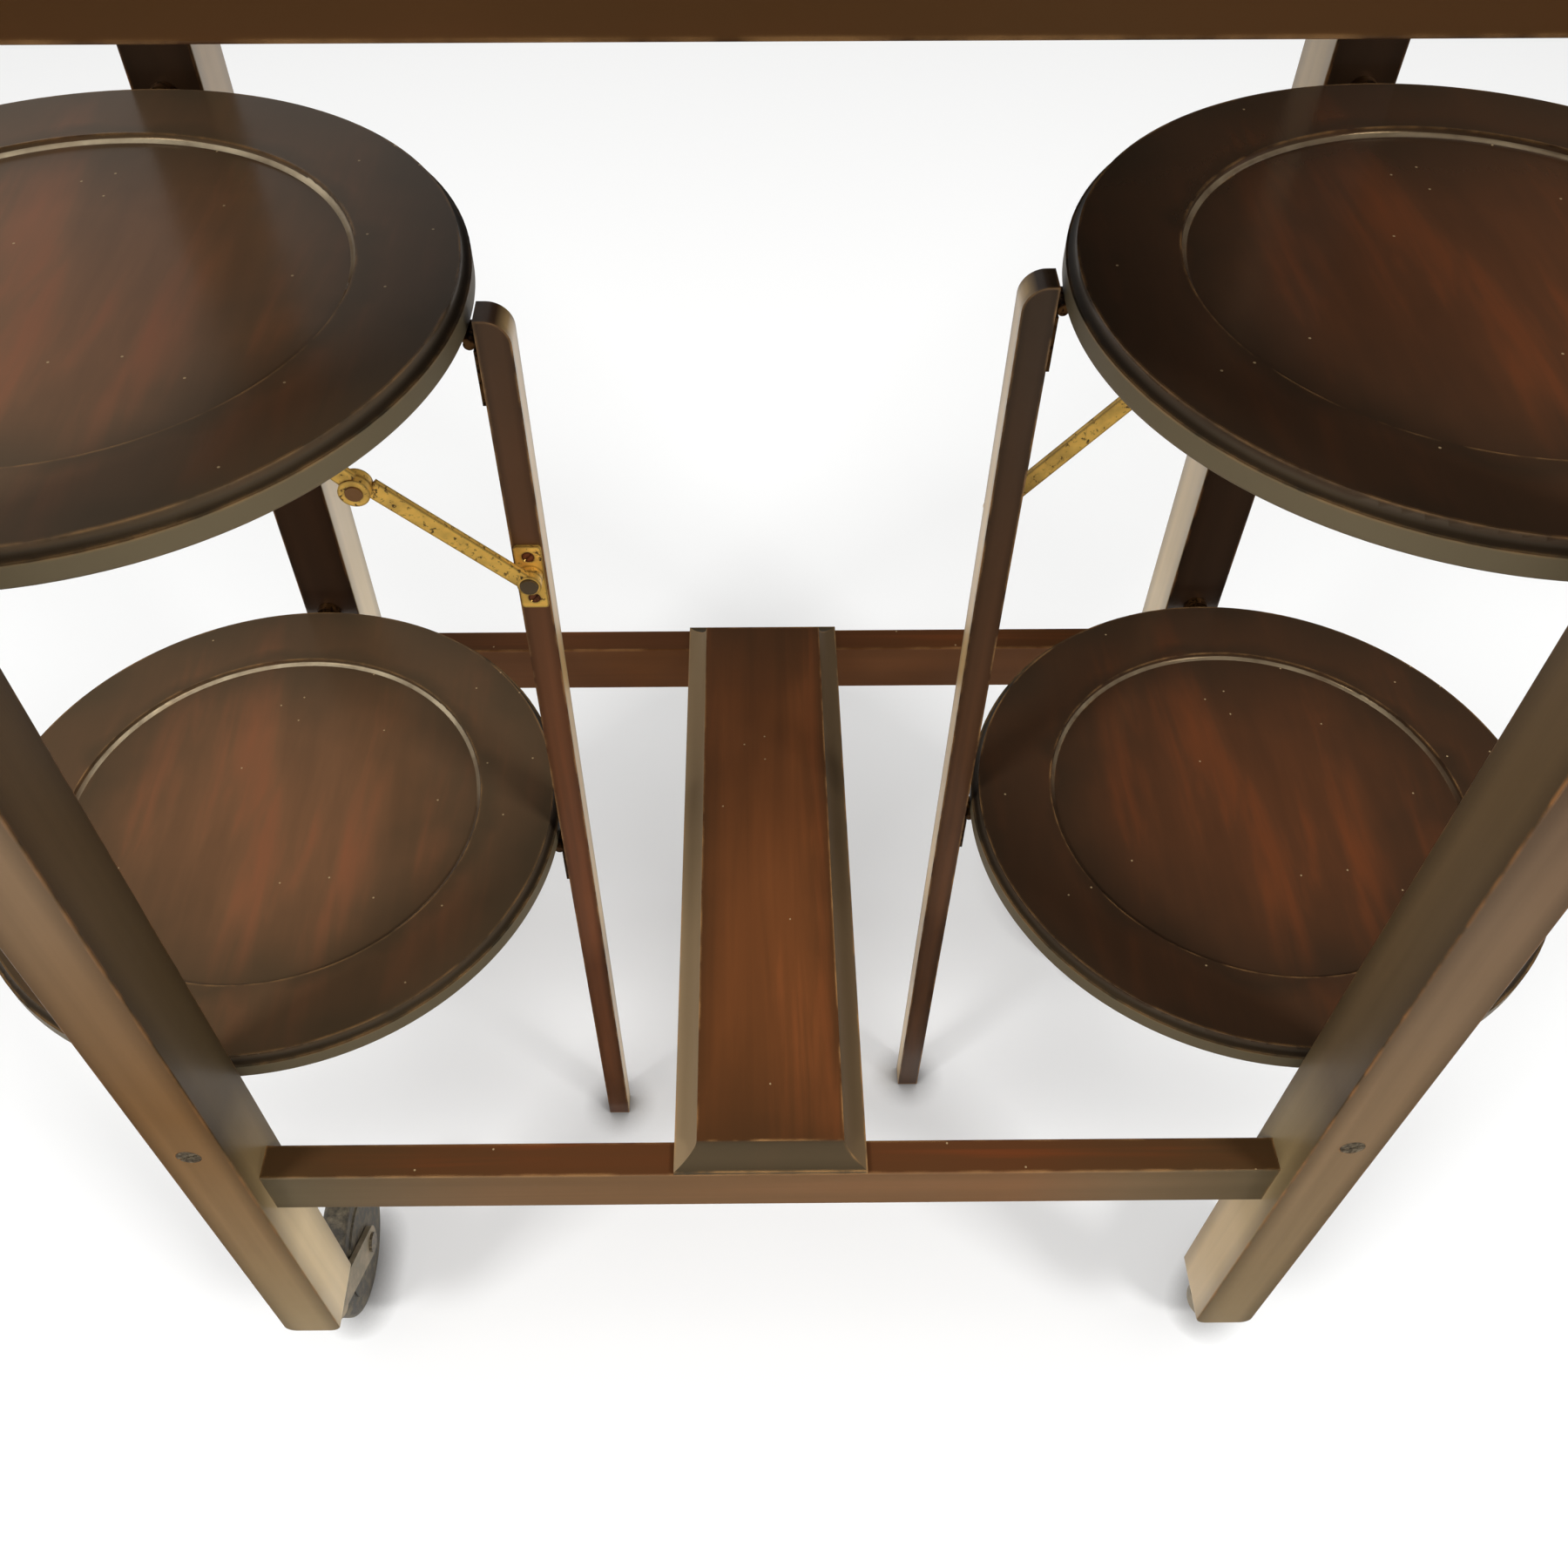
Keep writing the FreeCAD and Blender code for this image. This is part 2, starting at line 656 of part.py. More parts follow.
unit["stand_leg"] = stand_leg
unit["stand_leg_screws"] = Part.makeCompound(stand_screws)
for level in plate_tops:
    unit[level + "_plate"] = plates[level]
    unit[level + "_plate_leaf"] = plate_leaves[level]
    unit[level + "_stand_leaf"] = stand_leaves[level]
    unit[level + "_plate_screws"] = Part.makeCompound(plate_screws[level])
for name, shape in unit.items():
    save(shape, "right_" + name)
    save(half_turn(shape), "left_" + name)

# Castors, built with the stem on the Z axis and the wheel trailing towards +Y
flange_bottom = castor_height - castor_flange_thickness
hub_cap_radius = hub_radius + hub_cap_lip
axle_head_radius = axle_radius + axle_head_lip
crown_top = flange_bottom - castor_swivel_gap
crown_bottom = crown_top - crown_height
wheel_drop = crown_bottom - wheel_radius
castor_trail = crown_radius + math.sqrt((wheel_radius + wheel_clearance) ** 2 - wheel_drop ** 2)
cheek_in = tyre_width / 2 + hub_cap_thickness + cheek_gap
cheek_out = cheek_in + cheek_thickness

socket = rod(castor_flange_radius, (0, 0, flange_bottom), (0, 0, castor_height))
socket = socket.fuse(rod(socket_radius, (0, 0, flange_bottom), (0, 0, castor_height + socket_depth)))
socket = socket.cut(rod(
    castor_stem_radius + running_clearance,
    (0, 0, flange_bottom - 1), (0, 0, crown_top + castor_stem_length + 1.0)))
socket = socket.removeSplitter()


def cheek(side):
    x0 = min(side * cheek_in, side * cheek_out)
    a = math.atan2(castor_trail - crown_radius, wheel_drop)
    lean = (cheek_end_radius * math.cos(a), cheek_end_radius * math.sin(a))
    points = [
        (cheek_front_inset - crown_radius, crown_top),
        (crown_radius + cheek_back_reach, crown_top),
        (castor_trail + lean[0], wheel_radius + lean[1]),
        (castor_trail - lean[0], wheel_radius - lean[1]),
        (cheek_front_inset - crown_radius, crown_bottom),
    ]
    ring = [V(x0, y, z) for y, z in points]
    web = Part.Face(Part.makePolygon(ring + [ring[0]])).extrude(V(cheek_thickness, 0, 0))
    axle_at = (castor_trail, wheel_radius)
    end = rod(cheek_end_radius, (x0,) + axle_at, (x0 + cheek_thickness,) + axle_at)
    hole = rod(
        axle_radius + fit_clearance, (x0 - cheek_thickness,) + axle_at, (x0 + 2 * cheek_thickness,) + axle_at)
    return web.fuse(end).cut(hole)


fork = rod(crown_radius, (0, 0, crown_bottom), (0, 0, crown_top))
fork = fork.fuse(box(
    -cheek_out, cheek_out, cheek_front_inset - crown_radius, crown_radius - cheek_back_reach,
    crown_bottom, crown_top))
fork = fork.fuse(rod(castor_stem_radius, (0, 0, crown_bottom), (0, 0, crown_top + castor_stem_length)))
fork = fork.fuse(cheek(-1)).fuse(cheek(1)).removeSplitter()


def axle_rod(radius, x0, x1):
    # A round piece on the axle's line.
    return rod(radius, (x0, castor_trail, wheel_radius), (x1, castor_trail, wheel_radius))


axle_end = cheek_out + axle_head_height
half_tyre = tyre_width / 2
hub_end = half_tyre + hub_cap_thickness
axle = axle_rod(axle_radius, -axle_end, axle_end)
hub = axle_rod(hub_radius, -half_tyre, half_tyre)
for side in (-1, 1):
    axle = axle.fuse(axle_rod(axle_head_radius, side * cheek_out, side * axle_end))
    hub = hub.fuse(axle_rod(hub_cap_radius, side * half_tyre, side * hub_end))
axle = axle.removeSplitter()
hub = hub.cut(axle_rod(axle_radius + running_clearance, -axle_end, axle_end)).removeSplitter()

tyre = axle_rod(wheel_radius, -half_tyre, half_tyre)
rims = [e for e in tyre.Edges if e.Curve.TypeId == "Part::GeomCircle"]
tyre = tyre.makeFillet(tyre_rounding, rims)
tyre = tyre.cut(axle_rod(hub_radius + fit_clearance, -tyre_width, tyre_width))

sockets = []
for end_name, end in ends.items():
    for side_name, side in sides.items():
        corner = end_name + "_" + side_name
        at = V(side * leg_mid_x, end * leg_mid_y, 0)
        seat = socket.copy()
        seat.translate(at)
        sockets.append(seat)
        for part_name, shape in (("fork", fork), ("axle", axle), ("hub", hub), ("tyre", tyre)):
            piece = shape.copy()
            piece.rotate(V(0, 0, 0), V(0, 0, 1), castor_turn[corner])
            piece.translate(at)
            save(piece, corner + "_castor_" + part_name)
save(Part.makeCompound(sockets), "castor_sockets")
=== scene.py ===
import bpy
import math
from mathutils import Matrix, Vector


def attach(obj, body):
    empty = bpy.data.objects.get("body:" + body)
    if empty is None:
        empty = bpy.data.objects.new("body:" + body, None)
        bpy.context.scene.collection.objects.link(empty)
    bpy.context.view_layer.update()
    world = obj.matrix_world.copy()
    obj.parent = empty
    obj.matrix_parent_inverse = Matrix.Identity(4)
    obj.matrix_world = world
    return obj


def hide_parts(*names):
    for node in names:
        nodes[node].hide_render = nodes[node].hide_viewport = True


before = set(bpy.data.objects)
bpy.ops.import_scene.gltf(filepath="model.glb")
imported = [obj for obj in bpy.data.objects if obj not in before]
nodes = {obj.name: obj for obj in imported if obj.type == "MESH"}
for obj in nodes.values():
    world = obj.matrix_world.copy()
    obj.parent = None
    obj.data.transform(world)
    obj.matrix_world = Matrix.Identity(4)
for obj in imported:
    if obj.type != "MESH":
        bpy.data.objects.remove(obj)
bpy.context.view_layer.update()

MM = 0.001
FAR = 10.0
SIDES = (("left", -1), ("right", 1))
ENDS = (("front", -1), ("back", 1))


def box_of(name):
    # Middle and half size of a piece of the frame, in metres
    spots = [vertex.co for vertex in nodes[name].data.vertices]
    low = Vector([min(axis) for axis in zip(*spots)])
    high = Vector([max(axis) for axis in zip(*spots)])
    return (low + high) / 2, (high - low) / 2


# Places and sizes that the finishes and the screws take from the frame, on its right-hand side
leg_place, leg_half = box_of("back_right_leg")
stand_place, stand_half = box_of("right_stand_leg")
plate_place, plate_half = box_of("right_upper_plate")
lower_plate_place = box_of("right_lower_plate")[0]
board_place, board_half = box_of("centre_board")
cleat_place, cleat_half = box_of("right_end_cleat")
PLATE_RADIUS = plate_half.x
PLATE_THICKNESS = 2 * plate_half.z
PLATE_MIDDLES = (("upper", plate_place.z), ("lower", lower_plate_place.z))
RIM_FROM = 133.0 * MM / PLATE_RADIUS
RECESS_WALL = (96.2 * MM / PLATE_RADIUS, 98.0 * MM / PLATE_RADIUS)
BOARD_COVE = 10 * MM
BOARD_FLAT = (board_half.x - BOARD_COVE, board_half.y - BOARD_COVE)

# Heights that the stain of the pieces is laid out from
LEG_HEART = 380 * MM
STRETCHER_HEART = 228 * MM
TOP_HEART = 733 * MM
CLEAT_HEART = 718 * MM
STAND_HEART = 220 * MM

# Widths of the wood's patterns; pores and specks of dust are drawn coarser than real so that they show
FIGURE_WIDTH = 26 * MM
STREAK_WIDTH = 8 * MM
MOTTLE_WIDTH = 15 * MM
PORE_WIDTH = 1.2 * MM
CLOUD_WIDTH = 45 * MM
RUB_WIDTH = 14 * MM
WALL_HIGHLIGHT_WIDTH = 20 * MM
ARRIS_WIDTH = 1.6 * MM
DUST_CELL = 11 * MM
DUST_SPECK = 0.45 * MM
PORE_DEPTH = 0.15 * MM
WALL_HIGHLIGHT_FADE = 60 * MM

# Widths of the brass's patterns
SPOT_WIDTH = 2.2 * MM
BLOOM_WIDTH = 9 * MM
BROWNED_EDGE = 1.3 * MM

# Shares: how much the grain is drawn out, how far the stain wanders, dusty cells, a noise's usual range;
# then the dust's cover and tone, and the polish
GRAIN_SHRINK = 0.04
MOTTLE_SHRINK = 0.14
STAIN_WANDER = 0.16
DUSTY_CELLS = 0.04
NOISE_LOW, NOISE_HIGH = 0.3, 0.7
DUST_COVER = 0.7
DUST_TONE = "#b49c74"
POLISH_TINT = "#cfae80"
POLISH_IOR = 1.5
COAT_ROUGHNESS = 0.25
DRY_ROUGHNESS = 0.6


def linear(code):
    # sRGB hex to the linear values that the shaders take
    parts = [int(code[i:i + 2], 16) / 255 for i in (1, 3, 5)]
    return tuple(v / 12.92 if v <= 0.04045 else ((v + 0.055) / 1.055) ** 2.4 for v in parts) + (1.0,)


def add(tree, kind, links=(), **settings):
    # One node: settings are its properties, links are (input, value or output socket)
    made = tree.nodes.new(kind)
    for key, value in settings.items():
        setattr(made, key, value)
    for key, value in links:
        if isinstance(value, bpy.types.NodeSocket):
            tree.links.new(value, made.inputs[key])
        else:
            made.inputs[key].default_value = value
    return made


def fill_ramp(node, stops):
    # Colour ramp with a stop at each (position, linear colour)
    ramp = node.color_ramp.elements
    while len(ramp) < len(stops):
        ramp.new(0.5)
    for stop, (at, tone) in zip(ramp, stops):
        stop.position = at
        stop.color = tone


def new_finish(name):
    finish = bpy.data.materials.new(name)
    finish.use_nodes = True
    tree = finish.node_tree
    surface = tree.nodes["Principled BSDF"]
    return finish, tree, surface


def dress(finish, *names):
    for name in names:
        piece = nodes[name]
        if not piece.material_slots:
            piece.data.materials.append(finish)
        for slot in piece.material_slots:
            slot.material = finish


# Shading stain sprayed over the wood, as (distance from the middle, how much of the red shows)
BOX_BURST = ((0.0, 1.0), (0.5, 0.85), (0.85, 0.25), (1.0, 0.05))
PLATE_BURST = ((0.0, 1.0), (0.34, 0.85), (0.6, 0.3), (0.72, 0.06), (0.78, 0.26), (0.9, 0.16), (1.0, 0.0))


def turned_rim(tree, local, reach, wood, fascia, groove, bead, wall_highlight_tone):
    # Dry rim round a plate, painted by height: a grey fascia as painted sheen, a near-black groove as painted
    # shade, a grey-brown rounded bead
    height = add(tree, "ShaderNodeSeparateXYZ", [(0, local)])
    up = add(tree, "ShaderNodeMapRange", [
        ("Value", height.outputs["Z"]), ("From Min", -PLATE_THICKNESS), ("From Max", 0.0)])
    profile = add(tree, "ShaderNodeValToRGB", [("Fac", up.outputs[0])])
    fascia, groove, bead = linear(fascia), linear(groove), linear(bead)
    fill_ramp(profile, (
        (0.0, fascia), (0.64, fascia), (0.68, groove), (0.74, groove), (0.9, bead), (1.0, bead)))
    outer = add(tree, "ShaderNodeMapRange", [
        ("Value", reach), ("From Min", RIM_FROM), ("From Max", RIM_FROM + 0.004), ("To Max", 0.9)])
    wood = add(tree, "ShaderNodeMix", [
        ("Factor", outer.outputs[0]), ("A", wood), ("B", profile.outputs["Color"])], data_type="RGBA")

    # Painted highlight on the wall of the sunk floor, on its far side where it faces the front, broken up by
    # a noise
    after = add(tree, "ShaderNodeMath", [(0, reach), (1, RECESS_WALL[0])], operation="GREATER_THAN")
    before = add(tree, "ShaderNodeMath", [(0, reach), (1, RECESS_WALL[1])], operation="LESS_THAN")
    wall = add(tree, "ShaderNodeMath", [(0, after.outputs[0]), (1, before.outputs[0])],
               operation="MULTIPLY")
    behind = add(tree, "ShaderNodeMapRange", [
        ("Value", height.outputs["Y"]), ("From Min", 0.0), ("From Max", WALL_HIGHLIGHT_FADE)])
    highlight_breakup = add(tree, "ShaderNodeTexNoise", [
        ("Vector", local), ("Scale", 1 / WALL_HIGHLIGHT_WIDTH), ("Detail", 4.0)])
    pale_mark = add(tree, "ShaderNodeMapRange", [
        ("Value", highlight_breakup.outputs["Fac"]), ("From Min", 0.35), ("From Max", 0.6),
        ("To Min", 0.35), ("To Max", 0.9)])
    wall_highlight = add(tree, "ShaderNodeMath", [(0, wall.outputs[0]), (1, behind.outputs[0])], operation="MULTIPLY")
    wall_highlight = add(tree, "ShaderNodeMath", [(0, wall_highlight.outputs[0]), (1, pale_mark.outputs[0])], operation="MULTIPLY")
    wood = add(tree, "ShaderNodeMix", [
        ("Factor", wall_highlight.outputs[0]), ("A", wood.outputs["Result"]), ("B", linear(wall_highlight_tone))],
        data_type="RGBA")
    return wood.outputs["Result"], outer.outputs[0]


def coved_edge(tree, local, reach, wood, left, right, end):
    # Dry coves round the board, a tone for each side and one for its ends, mitred at the corners: painted
    # light, the left cove paler and the right darker for how light falls on them, the ends darker as painted
    # shade; reach is here because both mouldings are called alike
    across = add(tree, "ShaderNodeSeparateXYZ", [(0, local)])
    on_right = add(tree, "ShaderNodeMath", [(0, across.outputs["X"]), (1, 0.0)], operation="GREATER_THAN")
    side = add(tree, "ShaderNodeMix", [
        ("Factor", on_right.outputs[0]), ("A", linear(left)), ("B", linear(right))], data_type="RGBA")
    sizes = add(tree, "ShaderNodeVectorMath", [(0, local)], operation="ABSOLUTE")
    past = add(tree, "ShaderNodeVectorMath", [(0, sizes.outputs[0]), (1, BOARD_FLAT + (0.0,))],
               operation="SUBTRACT")
    over = add(tree, "ShaderNodeSeparateXYZ", [(0, past.outputs[0])])
    ends = add(tree, "ShaderNodeMath", [(0, over.outputs["Y"]), (1, over.outputs["X"])],
               operation="GREATER_THAN")
    tone = add(tree, "ShaderNodeMix", [
        ("Factor", ends.outputs[0]), ("A", side.outputs["Result"]), ("B", linear(end))], data_type="RGBA")
    wider = add(tree, "ShaderNodeMath", [(0, over.outputs["X"]), (1, over.outputs["Y"])],
                operation="MAXIMUM")
    cove = add(tree, "ShaderNodeMapRange", [
        ("Value", wider.outputs[0]), ("From Min", -0.2 * MM), ("From Max", 0.2 * MM), ("To Max", 0.9)])
    wood = add(tree, "ShaderNodeMix", [
        ("Factor", cove.outputs[0]), ("A", wood), ("B", tone.outputs["Result"])], data_type="RGBA")
    return wood.outputs["Result"], cove.outputs[0]


# Mahogany under shaded french polish: red heart, near-black towards the edges, long soft streaks with a
# few embers of orange, a thin glossy skin, arrises rubbed to pale wood and a few specks of dust on top.
# trim paints a dry moulding with painted light on it: one of the two functions above and its tones.
# The painted-light faces are faces whose colour carries painted sheen or painted shade for the light they
# catch: their direction and their colours, each at a place in millimetres along the axis that the next
# argument names.
# section is the half size of an upright piece, whose faces get painted shade towards the arrises and a faint
# painted sheen down the middle.
def shaded_mahogany(name, grain, centre, half, edge, heart, ember, disc=False, trim=None, painted_light_faces=(),
                    painted_light_along="Z", section=None, pale_mark="#b08452", rough=0.33, gloss=0.3, polish=0.0,
                    wear=0.6):
    finish, tree, surface = new_finish(name)
    coordinates = add(tree, "ShaderNodeTexCoord")
    middle = add(tree, "ShaderNodeMapping", [
        ("Vector", coordinates.outputs["Object"]), ("Location", tuple(-c for c in centre))])
    local = middle.outputs["Vector"]

    # Grain: a broad figure, streaks 25 times as long as wide or 7 times on a plate's mottled board, pores
    along = [1.0, 1.0, 1.0]
    along["XYZ".index(grain)] = MOTTLE_SHRINK if disc else GRAIN_SHRINK
    laid = add(tree, "ShaderNodeMapping", [("Vector", local), ("Scale", along)]).outputs["Vector"]
    figure = add(tree, "ShaderNodeTexNoise", [
        ("Vector", laid), ("Scale", 1 / FIGURE_WIDTH), ("Detail", 3.0), ("Roughness", 0.55)])
    streak_width = MOTTLE_WIDTH if disc else STREAK_WIDTH
    streak = add(tree, "ShaderNodeTexNoise", [
        ("Vector", laid), ("Scale", 1 / streak_width), ("Detail", 4.0), ("Roughness", 0.55),
        ("Distortion", 0.6)])
    pores = add(tree, "ShaderNodeTexNoise", [
        ("Vector", laid), ("Scale", 1 / PORE_WIDTH), ("Detail", 2.0), ("Roughness", 0.5)])

    # Distance from the middle, 0 in the heart and 1 at the edge, loosened by a cloud
    shrink = tuple(0 if disc and axis == 2 else 1 / h for axis, h in enumerate(half))
    scaled = add(tree, "ShaderNodeVectorMath", [(0, local), (1, shrink)], operation="MULTIPLY")
    if disc:
        reach = add(
            tree, "ShaderNodeVectorMath", [(0, scaled.outputs[0])], operation="LENGTH").outputs["Value"]
    else:
        sizes = add(tree, "ShaderNodeVectorMath", [(0, scaled.outputs[0])], operation="ABSOLUTE")
        split = add(tree, "ShaderNodeSeparateXYZ", [(0, sizes.outputs[0])])
        wider = add(tree, "ShaderNodeMath", [(0, split.outputs[0]), (1, split.outputs[1])],
                    operation="MAXIMUM")
        reach = add(tree, "ShaderNodeMath", [(0, wider.outputs[0]), (1, split.outputs[2])],
                    operation="MAXIMUM").outputs[0]
    cloud = add(tree, "ShaderNodeTexNoise", [("Vector", local), ("Scale", 1 / CLOUD_WIDTH), ("Detail", 3.0)])
    sway = add(tree, "ShaderNodeMapRange", [
        ("Value", cloud.outputs["Fac"]), ("To Min", -STAIN_WANDER), ("To Max", STAIN_WANDER)])
    loose = add(tree, "ShaderNodeMath", [(0, reach), (1, sway.outputs[0])], operation="ADD")
    burst = add(tree, "ShaderNodeValToRGB", [("Fac", loose.outputs[0])])
    fill_ramp(burst, [(at, (red, red, red, 1.0)) for at, red in (PLATE_BURST if disc else BOX_BURST)])

    # Colour: dark stain to red heart by figure and streaks, then the embers
    tone = add(tree, "ShaderNodeMapRange", [
        ("Value", streak.outputs["Fac"]), ("From Min", NOISE_LOW), ("From Max", NOISE_HIGH),
        ("To Min", 0.68), ("To Max", 1.06)])
    broad = add(tree, "ShaderNodeMapRange", [
        ("Value", figure.outputs["Fac"]), ("From Min", NOISE_LOW), ("From Max", NOISE_HIGH),
        ("To Min", 0.62), ("To Max", 1.12)])
    grainy = add(tree, "ShaderNodeMath", [(0, tone.outputs[0]), (1, broad.outputs[0])],
                 operation="MULTIPLY")
    red = add(tree, "ShaderNodeMath", [(0, grainy.outputs[0]), (1, burst.outputs["Color"])],
              operation="MULTIPLY", use_clamp=True)
    wood = add(tree, "ShaderNodeMix", [
        ("Factor", red.outputs[0]), ("A", linear(edge)), ("B", linear(heart))],
        data_type="RGBA").outputs["Result"]
    glow = add(tree, "ShaderNodeMapRange", [
        ("Value", grainy.outputs[0]), ("From Min", 0.8), ("From Max", 1.12), ("To Max", 0.7)])
    lit = add(tree, "ShaderNodeMath", [(0, glow.outputs[0]), (1, burst.outputs["Color"])],
              operation="MULTIPLY", use_clamp=True)
    wood = add(tree, "ShaderNodeMix", [("Factor", lit.outputs[0]), ("A", wood), ("B", linear(ember))],
               data_type="RGBA").outputs["Result"]

    dry = None
    if trim:
        paint, *tones = trim
        wood, dry = paint(tree, local, reach, wood, *tones)

    # Faces with painted light, painted sheen on some and painted shade on others, each coloured along the
    # piece and streaked with the grain
    for way, stops in painted_light_faces:
        toward = add(tree, "ShaderNodeVectorMath", [(0, coordinates.outputs["Normal"]), (1, way)],
                     operation="DOT_PRODUCT")
        face = add(tree, "ShaderNodeMapRange", [
            ("Value", toward.outputs["Value"]), ("From Min", 0.45), ("From Max", 0.8), ("To Max", 0.92)])
        low, high = stops[0][0], stops[-1][0]
        place = add(tree, "ShaderNodeSeparateXYZ", [(0, coordinates.outputs["Object"])])
        share = add(tree, "ShaderNodeMapRange", [
            ("Value", place.outputs[painted_light_along]), ("From Min", low * MM), ("From Max", high * MM)])
        face_light = add(tree, "ShaderNodeValToRGB", [("Fac", share.outputs[0])])
        fill_ramp(face_light, [((at - low) / (high - low), linear(tone)) for at, tone in stops])
        streaky = add(tree, "ShaderNodeMapRange", [
            ("Value", grainy.outputs[0]), ("From Min", 0.2), ("From Max", 1.2),
            ("To Min", 0.78), ("To Max", 1.12)])
        face_light = add(tree, "ShaderNodeMix", [
            ("Factor", 1.0), ("A", face_light.outputs["Color"]), ("B", streaky.outputs[0])],
            data_type="RGBA", blend_type="MULTIPLY")
        wood = add(tree, "ShaderNodeMix", [
            ("Factor", face.outputs[0]), ("A", wood), ("B", face_light.outputs["Result"])],
            data_type="RGBA").outputs["Result"]

    # Painted shade along the arrises of an upright piece, with a faint painted sheen down the middle of each
    # face
    if section:
        beside = add(tree, "ShaderNodeVectorMath", [
            (0, local), (1, (1 / section[0], 1 / section[1], 0.0))], operation="MULTIPLY")
        beside = add(tree, "ShaderNodeVectorMath", [(0, beside.outputs[0])], operation="ABSOLUTE")
        beside = add(tree, "ShaderNodeSeparateXYZ", [(0, beside.outputs[0])])
        nearer = add(tree, "ShaderNodeMath", [(0, beside.outputs["X"]), (1, beside.outputs["Y"])],
                     operation="MINIMUM")
        arris_shade = add(tree, "ShaderNodeMapRange", [
            ("Value", nearer.outputs[0]), ("From Min", 0.45), ("From Max", 1.0),
            ("To Min", 1.06), ("To Max", 0.6)])
        wood = add(tree, "ShaderNodeMix", [("Factor", 1.0), ("A", wood), ("B", arris_shade.outputs[0])],
                   data_type="RGBA", blend_type="MULTIPLY").outputs["Result"]

    # Rubbed arrises: where the surface turns close by, broken up along the edge
    turned = add(tree, "ShaderNodeBevel", [("Radius", ARRIS_WIDTH)], samples=4)
    true = add(tree, "ShaderNodeNewGeometry")
    facing = add(tree, "ShaderNodeVectorMath", [(0, turned.outputs[0]), (1, true.outputs["Normal"])],
                 operation="DOT_PRODUCT")
    sharp = add(tree, "ShaderNodeMapRange", [
        ("Value", facing.outputs["Value"]), ("From Min", 0.99), ("From Max", 0.92)])
    patchy = add(tree, "ShaderNodeTexNoise", [("Vector", local), ("Scale", 1 / RUB_WIDTH), ("Detail", 4.0)])
    broken = add(tree, "ShaderNodeMapRange", [
        ("Value", patchy.outputs["Fac"]), ("From Min", 0.4), ("From Max", 0.64), ("To Max", wear)])
    worn = add(tree, "ShaderNodeMath", [(0, sharp.outputs[0]), (1, broken.outputs[0])],
               operation="MULTIPLY")
    wood = add(tree, "ShaderNodeMix", [("Factor", worn.outputs[0]), ("A", wood), ("B", linear(pale_mark))],
               data_type="RGBA").outputs["Result"]

    # Dust on what faces up: a speck in a few of the cells
    cells = add(tree, "ShaderNodeTexVoronoi", [
        ("Vector", local), ("Scale", 1 / DUST_CELL), ("Randomness", 1.0)], voronoi_dimensions="2D")
    speck = add(tree, "ShaderNodeMath", [(0, cells.outputs["Distance"]), (1, DUST_SPECK / DUST_CELL)],
                operation="LESS_THAN")
    lot = add(tree, "ShaderNodeSeparateColor", [(0, cells.outputs["Color"])])
    chosen = add(tree, "ShaderNodeMath", [(0, lot.outputs[0]), (1, DUSTY_CELLS)], operation="LESS_THAN")
    up = add(tree, "ShaderNodeSeparateXYZ", [(0, coordinates.outputs["Normal"])])
    flat = add(tree, "ShaderNodeMath", [(0, up.outputs["Z"]), (1, 0.9)], operation="GREATER_THAN")
    seen = add(tree, "ShaderNodeMath", [(0, speck.outputs[0]), (1, chosen.outputs[0])],
               operation="MULTIPLY")
    seen = add(tree, "ShaderNodeMath", [(0, seen.outputs[0]), (1, flat.outputs[0])], operation="MULTIPLY")
    seen = add(tree, "ShaderNodeMath", [(0, seen.outputs[0]), (1, DUST_COVER)], operation="MULTIPLY")
    wood = add(tree, "ShaderNodeMix", [("Factor", seen.outputs[0]), ("A", wood), ("B", linear(DUST_TONE))],
               data_type="RGBA").outputs["Result"]
    tree.links.new(wood, surface.inputs["Base Color"])

    # Polish: satin clouds in the gloss, pores just felt
    patch = add(tree, "ShaderNodeMapRange", [
        ("Value", cloud.outputs["Fac"]), ("From Min", NOISE_LOW), ("From Max", NOISE_HIGH),
        ("To Min", rough - 0.05), ("To Max", rough + 0.07)])
    satin = patch.outputs[0]
    if dry:
        matt = add(tree, "ShaderNodeMapRange", [("Value", dry), ("To Min", satin), ("To Max", DRY_ROUGHNESS)])
        satin = matt.outputs[0]
    tree.links.new(satin, surface.inputs["Roughness"])
    bump = add(tree, "ShaderNodeBump", [
        ("Height", pores.outputs["Fac"]), ("Strength", 0.12), ("Distance", PORE_DEPTH)])
    tree.links.new(bump.outputs[0], surface.inputs["Normal"])
    surface.inputs["IOR"].default_value = POLISH_IOR
    surface.inputs["Specular IOR Level"].default_value = gloss
    surface.inputs["Specular Tint"].default_value = linear(POLISH_TINT)
    surface.inputs["Coat Weight"].default_value = polish
    surface.inputs["Coat Roughness"].default_value = COAT_ROUGHNESS
    return finish


